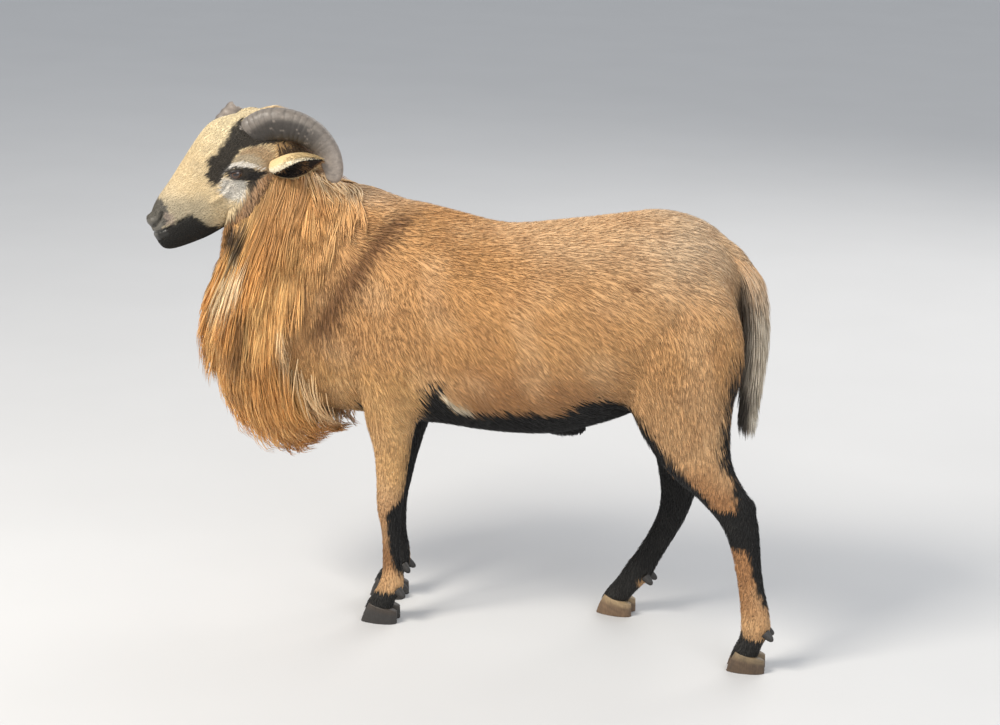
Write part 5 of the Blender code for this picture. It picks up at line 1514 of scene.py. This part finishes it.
for side_name, side in (("left", 1), ("right", -1)):
    leaf, out, part, swing, way, edge = ear_leaf(side)
    upper_edge = np.sign(edge @ HEAD_UP)
    thin_edge = np.clip(1 - np.abs(swing) ** 6, 0.15, 1)[None, :, None]
    thin_tip = np.clip((1 - part) * 9, 0.15, 1)[:, None, None]
    wall = EAR_WALL / 2 * thin_edge * thin_tip
    rings = np.concatenate([leaf + out * wall, (leaf - out * wall)[:, ::-1]], axis=1)
    round_swing = np.concatenate([swing, swing[::-1]])
    # The inner face of the leaf is painted dark: painted shade inside the cup.
    ear_tone = blend(EAR_CUP_SHADE, EAR_CREAM, np.repeat((1.0, 0.0), len(swing)))
    pale_rim = ease(0.70, 0.88, np.abs(round_swing)) * ease(-0.2, 0.2, round_swing * upper_edge)
    ear_tone = blend(ear_tone, EAR_RIM, 0.9 * pale_rim)
    add_tube("ear_" + side_name + "_leaf", rings, HIDE, ear_tone, "ear_" + side_name)

    # Tufts on both faces of the leaf: six of ten outside, the rest longer and inside the cup.
    row, column = draw.uniform(4, 38.9, EAR_TUFTS), draw.uniform(0, 27.99, EAR_TUFTS)
    at_row, at_column = row.astype(int), column.astype(int)
    here, beside = leaf[at_row, at_column], leaf[at_row, at_column + 1]
    spot = here + (beside - here) * (column - at_column)[:, None]
    face_out = draw.uniform(0, 1, EAR_TUFTS) < 0.6
    normal = out[at_row, at_column] * np.where(face_out, 1.0, -1.0)[:, None]
    swing_here = np.abs(swing[at_column])
    toward_rim = np.sign(swing[at_column])[:, None] * unit(beside - here)
    lie = way + 0.5 * swing_here[:, None] * toward_rim + draw.normal(0, 0.12, (EAR_TUFTS, 3))
    lie = along_skin(lie, normal)
    length = np.where(face_out, 0.008, 0.010) * draw.uniform(0.7, 1.3, EAR_TUFTS)
    length *= 1 - 0.55 * ease(0.6, 0.9, swing_here)
    step = np.linspace(0, 1, 3)[None, :, None]
    height = EAR_WALL / 2 + 0.0014 * step - 0.0004
    paths = spot[:, None] + normal[:, None] * height + lie[:, None] * length[:, None, None] * step
    over = swing[at_column] * upper_edge
    # Tufts inside the cup take the same painted shade.
    tones = np.where(face_out[:, None], EAR_CREAM, EAR_CUP_SHADE)
    inner_brown = ease(-0.05, -0.45, over) * ease(0.25, 0.55, part[at_row]) * ~face_out
    tones = blend(tones, MANE_UMBER, 0.9 * inner_brown)
    tones = blend(tones, EAR_RIM, 0.9 * ease(0.66, 0.84, swing_here) * ease(-0.2, 0.2, over) * face_out)
    tones = tones * draw.normal(1.0, 0.1, EAR_TUFTS)[:, None]
    add_coat(
        "coat_ear_" + side_name, paths, normal[:, None, :], np.full(EAR_TUFTS, 0.0012), thickness=0.0003,
        profile=(0.7, 1.0, 0.0), colours=tones, painted_shades=(0.8, 1.0, 1.08),
        places=np.stack([row, column + 30 * face_out], axis=-1), material=SHORT_HAIR,
    )

# Horns
# The left horn is a whole curl of grey-brown horn with growth rings. The right one is
# broken off short: a pale stump, with a hollow and ragged end.

# Rows of the curl, from the skull to the tip: its middle in the head's frame, and its
# half depth and half width.
HORN_LEFT = (
    (0.044, 0.057, 0.024, 0.0265, 0.0165),
    (0.022, 0.060, 0.036, 0.0275, 0.0175),
    (-0.002, 0.057, 0.046, 0.0255, 0.0170),
    (-0.027, 0.038, 0.057, 0.0235, 0.0160),
    (-0.042, 0.012, 0.067, 0.0215, 0.0150),
    (-0.046, -0.016, 0.076, 0.0185, 0.0135),
    (-0.040, -0.040, 0.083, 0.0160, 0.0120),
    (-0.031, -0.056, 0.087, 0.0120, 0.0090),
    (-0.027, -0.062, 0.088, 0.0050, 0.0040),
)
HORN_PAINTED_LIT = linear("#6e665e")
HORN_MID = linear("#514a43")
HORN_PAINTED_SHADE = linear("#26211c")
HORN_TIP = linear("#94887c")
STUMP_PALE = linear("#7a7067")
STUMP_HOLLOW_SHADE = linear("#2d2722")


def horn_material():
    """Horn: dull, with worn patches that are brighter and smoother, and fine pits."""
    material, tree, shader = new_material("ram horn", {"IOR": 1.54})
    noise = {"Scale": 160.0, "Detail": 6.0, "Roughness": 0.65}
    grain = add_grain(tree, shader, object_place(tree), noise, (0.72, 1.22), strength=0.5, distance=0.0006)
    tree.links.new(spread(tree, grain, 0.62, 0.40), shader.inputs["Roughness"])
    return material


HORN = horn_material()
HORN_ROWS = 220
HORN_SIDES = 56
rows = smooth_rows(HORN_LEFT, np.linspace(0, len(HORN_LEFT) - 1, HORN_ROWS))
horn_middle = head_point(*rows[:, :3].T)
way = unit(np.gradient(horn_middle, axis=0))
side_way = unit(HEAD_LEFT - (way @ HEAD_LEFT)[:, None] * way)
outer = np.cross(side_way, way)
part = np.linspace(0, 1, HORN_ROWS)
ring_place = 24 * part ** 0.85 + 0.3 * np.sin(31 * part)
ridge = (np.abs(np.sin(np.pi * ring_place)) ** 0.7 - 0.6) * 0.0008 * ease(0.85, 0.30, part)
around = np.linspace(0, 2 * np.pi, HORN_SIDES, endpoint=False)
across, upward = round_point(around, 2.6, 1.8)
wave = ridge[:, None] * (1 + 0.35 * np.sin(2 * around + 9 * part[:, None]))
rings = moved(
    horn_middle[:, None, :],
    ((rows[:, 3, None] + wave) * upward, outer[:, None, :]),
    ((rows[:, 4, None] + wave) * across, side_way[:, None, :]),
)
far = part[:, None]
# Painted light and shade: the curl's upper face is painted lighter, and its lower face near the skull darker.
horn_tone = blend(HORN_MID, HORN_PAINTED_LIT, ease(-0.3, 0.5, upward) * (0.85 - 0.4 * far))
# The grooves between the growth rings are painted darker: painted shade.
horn_tone = blend(horn_tone, HORN_PAINTED_SHADE, 0.55 * ease(0.0, -0.0005, ridge)[:, None])
horn_tone = blend(horn_tone, HORN_PAINTED_SHADE, 0.85 * ease(0.55, 0.20, upward) * ease(0.64, 0.42, far))
horn_tone = blend(horn_tone, HORN_TIP, 0.8 * ease(0.50, 0.85, far))
scratch = ease(0.95, 1.25, wobble(rings * np.array([1.0, 1.0, 3.0]), 0.012, 71))
horn_tone = blend(horn_tone, STUMP_PALE, 0.6 * scratch)
add_tube("horn_left_curl", rings, HORN, horn_tone, "horn_left")

# The stump is one tube from the skull out to its broken edge and back down into the hollow.
# Rows: share of its length, radius, and how ragged it is.
STUMP_ROWS = 70
STUMP_LEVELS = (
    (0.0, 0.0230, 0.0), (0.18, 0.0225, 0.0), (0.35, 0.0215, 0.0), (0.52, 0.0203, 0.1), (0.7, 0.0185, 0.3),
    (0.88, 0.0166, 0.7), (1.0, 0.0150, 1.0), (1.01, 0.0128, 1.0), (0.97, 0.0105, 1.0), (0.84, 0.0085, 0.6),
    (0.72, 0.0065, 0.3),
)
start, end = head_point(0.066, 0.076, -0.034), head_point(0.029, 0.090, -0.053)
length = np.linalg.norm(end - start)
way = (end - start) / length
side_way = unit(np.cross(way, HEAD_UP))
front = np.cross(side_way, way)
around = np.linspace(0, 2 * np.pi, 64, endpoint=False)
ragged = 0.0016 * np.sin(3 * around + 1.0) + 0.0009 * np.sin(5 * around) + 0.0004 * np.sin(13 * around + 2)
level_rows = smooth_rows(STUMP_LEVELS, np.linspace(0, len(STUMP_LEVELS) - 1, STUMP_ROWS))
stump_ridge = 0.0006 * np.sin(level_rows[:, 0] * 22)
reach = (level_rows[:, 1] + stump_ridge)[:, None]
rings = moved(
    start,
    (level_rows[:, 0, None] * length + ragged * level_rows[:, 2, None], way),
    (reach * np.cos(around), front),
    (reach * 0.8 * np.sin(around), side_way),
)
facing = moved(0.0, (np.cos(around), front), (np.sin(around), side_way))
stump_tone = blend(HORN_MID, STUMP_PALE, ease(-0.2, 0.7, facing @ HEAD_LEFT))
# From the broken edge down into the hollow the stump is painted dark: painted shade in the hollow.
stump_tone = blend(stump_tone, STUMP_HOLLOW_SHADE, ease(0.62, 0.72, np.linspace(0, 1, STUMP_ROWS))[:, None])
add_tube("horn_right_stump", rings, HORN, stump_tone, "horn_right")

# Eyes
# A wet eyeball with a brown iris and the long flat pupil of a sheep. The clear front
# gives it a sharp highlight, and dark lids close round it.

IRIS_BROWN = linear("#4a2d16")
IRIS_DARK = linear("#170d08")
EYE_WHITE = linear("#4d4038")
PUPIL_BLACK = np.full(3, 0.002)


def eye_material():
    """Eye: the painted iris and pupil under a clear wet coat, which gives the sharp highlight."""
    material, tree, shader = new_material("wet eye", {
        "Roughness": 0.12,
        "IOR": 1.38,
        "Coat Weight": 1.0,
        "Coat Roughness": 0.02,
    })
    tree.links.new(markings(tree), shader.inputs["Base Color"])
    return material


WET_EYE = eye_material()
for side_name, side in (("left", 1), ("right", -1)):
    rise = np.linspace(0.02, np.pi - 0.02, 90)[:, None]
    around = np.linspace(0, 2 * np.pi, 96, endpoint=False)[None, :]
    gaze = unit(HEAD_LEFT * side + 0.10 * HEAD_FORWARD)
    slit = unit(HEAD_FORWARD * math.cos(EYE_SLANT) + HEAD_UP * math.sin(EYE_SLANT))
    slit = unit(slit - (slit @ gaze) * gaze)
    cross = np.cross(gaze, slit)
    flat_x, flat_y = np.sin(rise) * np.cos(around), np.sin(rise) * np.sin(around)
    bulge = 1 + 0.035 * np.exp(-(rise / 0.45) ** 2)
    ball = moved(0.0, (flat_x * bulge, slit), (flat_y * bulge, cross), (np.cos(rise) * bulge, gaze))
    rings = on_side(EYE, side) + EYEBALL_RADIUS * 0.997 * ball
    spoke = 0.5 + 0.5 * np.sin(34 * around + 5 * rise)
    tone = blend(IRIS_BROWN, IRIS_DARK, 0.35 * spoke)
    tone = blend(tone, IRIS_DARK, ease(0.42, 0.58, rise))
    tone = blend(tone, EYE_WHITE, ease(0.60, 0.72, rise))
    pupil = np.maximum(np.abs(flat_x) / 0.30, np.abs(flat_y) / 0.13)
    tone = blend(tone, PUPIL_BLACK, ease(1.08, 0.94, pupil) * (rise < 1.5))
    add_tube("eyeball_" + side_name, rings, WET_EYE, tone, "eye_" + side_name)

# Lids
# A dark wet rim of bare skin round each slit, thicker above, that meets the eyeball. The
# nose pad is bare skin as well, so those faces of the hide get the same material.

LID_SKIN = linear("#1c1613")
LID_STEPS = 90
LID_SIDES = 14


def bare_skin_material():
    """Bare skin: fine-grained and a little wet, so it shines softly beside the dull hair."""
    material, tree, shader = new_material("bare dark skin", {"Roughness": 0.38})
    tree.links.new(markings(tree), shader.inputs["Base Color"])
    grain = add_node(tree, "ShaderNodeTexVoronoi", {"Scale": 700.0}, {"Vector": object_place(tree)})
    add_bump(tree, shader, grain.outputs["Distance"], strength=0.5, distance=0.0004)
    return material


BARE_SKIN = bare_skin_material()
skin.data.materials.append(BARE_SKIN)
# The nose pad: the front end of the face, from the upper lip to above the nostrils.
face_centre = skin_points[skin_quads].mean(axis=1)
forward, high, left = head_parts(face_centre).T
on_nose = (forward > 0.224) & (high < 0.042) & (high > 0.006)
skin.data.polygons.foreach_set("material_index", on_nose.astype(np.int32))
for side_name, side in (("left", 1), ("right", -1)):
    around = np.linspace(0, 2 * np.pi, LID_STEPS, endpoint=False)
    along = (EYE_LENGTH / 2 + 0.0003) * np.cos(around)
    across = (EYE_HEIGHT / 2 + 0.0002) * np.sign(np.sin(around)) * np.abs(np.sin(around)) ** 0.9
    forward = along * math.cos(EYE_SLANT) - across * math.sin(EYE_SLANT) + SLIT_FORWARD
    up = along * math.sin(EYE_SLANT) + across * math.cos(EYE_SLANT) - SLIT_DOWN
    flat = forward ** 2 + up ** 2
    out = np.sqrt(np.clip((EYEBALL_RADIUS + 0.0004) ** 2 - flat, 0.00001, None))
    line = head_point(EYE[0] + forward, EYE[1] + up, (EYE[2] + out) * side)
    middle = on_side(EYE, side)
    normal = unit(line - middle)
    way = unit(np.roll(line, -1, axis=0) - np.roll(line, 1, axis=0))
    away = np.cross(way, normal)
    thick = 0.0008 + 0.0007 * np.clip(np.sin(around), 0, 1)
    turn = np.linspace(0, 2 * np.pi, LID_SIDES, endpoint=False)
    rim = moved(
        line[:, None, :],
        (thick[:, None] * np.cos(turn), normal[:, None, :]),
        (thick[:, None] * 1.2 * np.sin(turn), away[:, None, :]),
    )
    index = np.arange(LID_STEPS * LID_SIDES).reshape(LID_STEPS, LID_SIDES)
    next_row, next_column = np.roll(index, -1, axis=0), np.roll(index, -1, axis=1)
    quads = np.stack([index, next_column, np.roll(next_row, -1, axis=1), next_row], axis=-1).reshape(-1, 4)
    corner = rim.reshape(-1, 3)[quads] - middle
    # A closed rim whose faces look inwards has a volume below 0 and is turned inside out.
    if np.einsum("ij,ij->", corner[:, 0], np.cross(corner[:, 1], corner[:, 2])) < 0:
        quads = quads[:, ::-1]
    tone = np.tile(LID_SKIN, (LID_STEPS * LID_SIDES, 1))
    add_piece("lid_rim_" + side_name, rim.reshape(-1, 3), [quads], BARE_SKIN, tone)

# Hooves
# Each foot stands on two claws of horn with a flat sole, grey in front and tan behind,
# ringed by growth lines, and has two small dewclaws behind the fetlock.

CLAW_LENGTH = 0.058
CLAW_WIDTH = 0.0250
CLAW_FRONT_HEIGHT = 0.034
CLAW_HEEL_HEIGHT = 0.020
CLAW_SPREAD = 0.0130
CORONET_SLOPE = (CLAW_FRONT_HEIGHT - CLAW_HEEL_HEIGHT) / CLAW_LENGTH
DEWCLAW_LENGTH = 0.017
DEWCLAW_RADIUS = 0.0075
HOOF_GREY = linear("#2d2a27")
HOOF_TAN = linear("#69533d")
HOOF_CREAM = linear("#97805f")
# The middle of each foot on the floor, and how far its toe turns.
FEET = {
    "foreleg_left": (-0.262, -0.062, math.radians(4)),
    "foreleg_right": (-0.279, 0.051, math.radians(-3)),
    "hindleg_left": (0.326, -0.105, math.radians(5)),
    "hindleg_right": (0.091, 0.080, math.radians(-5)),
}


def foot_axes(foot):
    """The middle of a foot on the floor, and its ways to the toe and to the animal's left."""
    x, y, heading = FEET[foot]
    toe = np.array([-math.cos(heading), -math.sin(heading), 0.0])
    left = np.array([math.sin(heading), -math.cos(heading), 0.0])
    return np.array([x, y, 0.0]), toe, left


def claw_rings(foot, side):
    """A claw: ovals that narrow and lean back from the flat sole to the slanting upper rim."""
    middle, toe, left = foot_axes(foot)
    angle = np.linspace(0, 2 * np.pi, 72, endpoint=False)
    level = np.concatenate([[0.0, 0.0, 0.03], np.linspace(0.08, 1.0, 26)])[:, None]
    edge = np.concatenate([[0.55, 0.97, 1.0], np.ones(26)])[:, None]
    # Rows at the sole, halfway and at the rim: size against the sole, and how far it leans back.
    scale = smooth_rows([(1.0, 0.0), (0.91, -0.0025), (0.77, -0.0060)], level[:, 0] * 2)
    taper = 1 - 0.30 * (1 + np.cos(angle)) / 2
    bow = np.where(np.sin(angle) * side > 0, 1.0, 0.92)
    ring_line = 1 + 0.006 * np.sin(level * 34)
    along = np.cos(angle) * CLAW_LENGTH / 2 * scale[:, :1] * edge * ring_line + scale[:, 1:]
    width_scale = (0.6 + 0.4 * scale[:, :1]) * edge * ring_line
    across = np.sin(angle) * CLAW_WIDTH / 2 * taper * bow * width_scale
    height = ((CLAW_FRONT_HEIGHT + CLAW_HEEL_HEIGHT) / 2 + CORONET_SLOPE * along) * level
    base = middle + left * side * CLAW_SPREAD
    rings = moved(base, (along, toe), (across, left))
    rings[..., 2] = height
    return rings, level


def dewclaw_rings(foot, side):
    """A dewclaw: a blunt cone behind the fetlock that points back, outwards and down."""
    _, toe, left = foot_axes(foot)
    x, y, z, half_depth, _ = LEGS[foot][-4]
    root = np.array([x, y, z - 0.006]) - toe * (half_depth - 0.009) + left * side * 0.0105
    way = unit(-toe * 0.75 + left * side * 0.25 + np.array([0.0, 0.0, -0.62]))
    first = unit(np.cross(way, HEAD_UP))
    second = np.cross(way, first)
    part = np.linspace(0, 1, 16)
    radius = DEWCLAW_RADIUS * (1 - 0.45 * part) * np.sqrt(np.clip(1.02 - part ** 6, 0.02, 1))
    around = np.linspace(0, 2 * np.pi, 28, endpoint=False)
    length, radius = (part * DEWCLAW_LENGTH)[:, None], radius[:, None]
    return moved(root, (length, way), (radius * np.cos(around), first), (radius * np.sin(around), second))


def hoof_material():
    """Hoof horn: dull, with fine upright fibres in light and dark, as if dust lay between them."""
    material, tree, shader = new_material("hoof horn", {"Roughness": 0.55, "IOR": 1.54})
    stretch = add_node(tree, "ShaderNodeMapping", {"Scale": (1.0, 1.0, 0.12)}, {"Vector": object_place(tree)})
    noise = {"Scale": 900.0, "Detail": 4.0}
    add_grain(tree, shader, stretch.outputs["Vector"], noise, (0.75, 1.2), strength=0.4, distance=0.0004)
    return material


HOOF = hoof_material()
for foot in FEET:
    for side_name, side in (("outer", 1), ("inner", -1)):
        away = side if foot.endswith("left") else -side
        rings, level = claw_rings(foot, away)
        upper = ease(0.55, 0.95, level)
        if foot.startswith("hind"):
            # The left hind claws are painted darker: painted shade over that foot.
            tone = blend(HOOF_TAN, HOOF_CREAM, upper) * (0.55 if foot.endswith("left") else 1.0)
        else:
            tone = blend(HOOF_GREY, HOOF_TAN * 0.5, 0.3 * upper)
        tone = tone * (1 + 0.12 * wobble(rings, 0.008, 81))[..., None]
        node = "%s_claw_%s" % (foot, side_name)
        add_tube(node + "_horn", rings, HOOF, tone, node)
        node = "%s_dewclaw_%s" % (foot, side_name)
        add_tube(node + "_horn", dewclaw_rings(foot, away), HOOF, HOOF_GREY, node)

# Studio
# A pale plain floor, a warm light from above on the left, wide fills from the right and
# from behind, and a camera at the photo's own angle.


def floor_material():
    """Matte pale paint, with a faint cloud of tone."""
    material, tree, shader = new_material("pale matte floor", {"Roughness": 0.9})
    noise = {"Scale": 3.0, "Detail": 2.0}
    cloud = add_node(tree, "ShaderNodeTexNoise", noise, {"Vector": object_place(tree)}).outputs["Fac"]
    tone = add_node(tree, "ShaderNodeMapRange", {"To Min": 0.50, "To Max": 0.53}, {"Value": cloud})
    tree.links.new(tone.outputs["Result"], shader.inputs["Base Color"])
    return material


FLOOR_HALF = 40.0
floor_corners = FLOOR_HALF * np.array([(-1, -1, 0), (1, -1, 0), (1, 1, 0), (-1, 1, 0)])
floor_mesh = new_mesh("floor", floor_corners, [np.array([[0, 1, 2, 3]])])
floor_mesh.materials.append(floor_material())
floor = bpy.data.objects.new("floor", floor_mesh)
bpy.context.scene.collection.objects.link(floor)

world = bpy.data.worlds.new("studio")
bpy.context.scene.world = world
world.use_nodes = True
world.node_tree.nodes["Background"].inputs["Color"].default_value = (0.90, 0.94, 1.0, 1.0)
world.node_tree.nodes["Background"].inputs["Strength"].default_value = 0.72

AIM_HEIGHT = 0.42
AIM = np.array([-0.092, 0.0, AIM_HEIGHT]) + SHIFT
# Name, place from the floor below the aim, size, watts and tint of each light.
LIGHTS = (
    ("key", (-1.8, -2.2, 3.2), 1.4, 190.0, (1.0, 0.94, 0.85)),
    ("fill", (2.6, -2.6, 1.8), 2.6, 50.0, (0.95, 0.97, 1.0)),
    ("back", (1.0, 2.8, 2.6), 2.2, 60.0, (1.0, 0.97, 0.93)),
)
for name, place, size, power, tint in LIGHTS:
    lamp = bpy.data.lights.new(name, "AREA")
    lamp.size = size
    lamp.energy = power
    lamp.color = tint
    thing = bpy.data.objects.new(name, lamp)
    thing.location = Vector(AIM) + Vector(place) - Vector((0, 0, AIM_HEIGHT))
    toward = Vector(AIM) - thing.location
    thing.rotation_euler = toward.to_track_quat("-Z", "Y").to_euler()
    bpy.context.scene.collection.objects.link(thing)

AZIMUTH = math.radians(12.8)
ELEVATION = math.radians(15.0)
ROLL = math.radians(1.4)
DISTANCE = 3.85
SENSOR_WIDTH = 36
FOCUS_PER_WIDTH = 2.48
behind = np.array([
    math.sin(AZIMUTH) * math.cos(ELEVATION),
    -math.cos(AZIMUTH) * math.cos(ELEVATION),
    math.sin(ELEVATION),
])
level_right = np.array([math.cos(AZIMUTH), math.sin(AZIMUTH), 0.0])
level_up = np.cross(behind, level_right)
right = moved(0.0, (math.cos(ROLL), level_right), (math.sin(ROLL), level_up))
upward = moved(0.0, (math.cos(ROLL), level_up), (-math.sin(ROLL), level_right))
lens = bpy.data.cameras.new("camera")
lens.sensor_width = SENSOR_WIDTH
lens.lens = FOCUS_PER_WIDTH * SENSOR_WIDTH
camera = bpy.data.objects.new("camera", lens)
turn = Matrix(np.stack([right, upward, behind], axis=1).tolist()).to_4x4()
camera.matrix_world = Matrix.Translation(Vector(AIM + behind * DISTANCE)) @ turn
bpy.context.scene.collection.objects.link(camera)
bpy.context.scene.camera = camera
bpy.context.scene.view_settings.view_transform = "Standard"
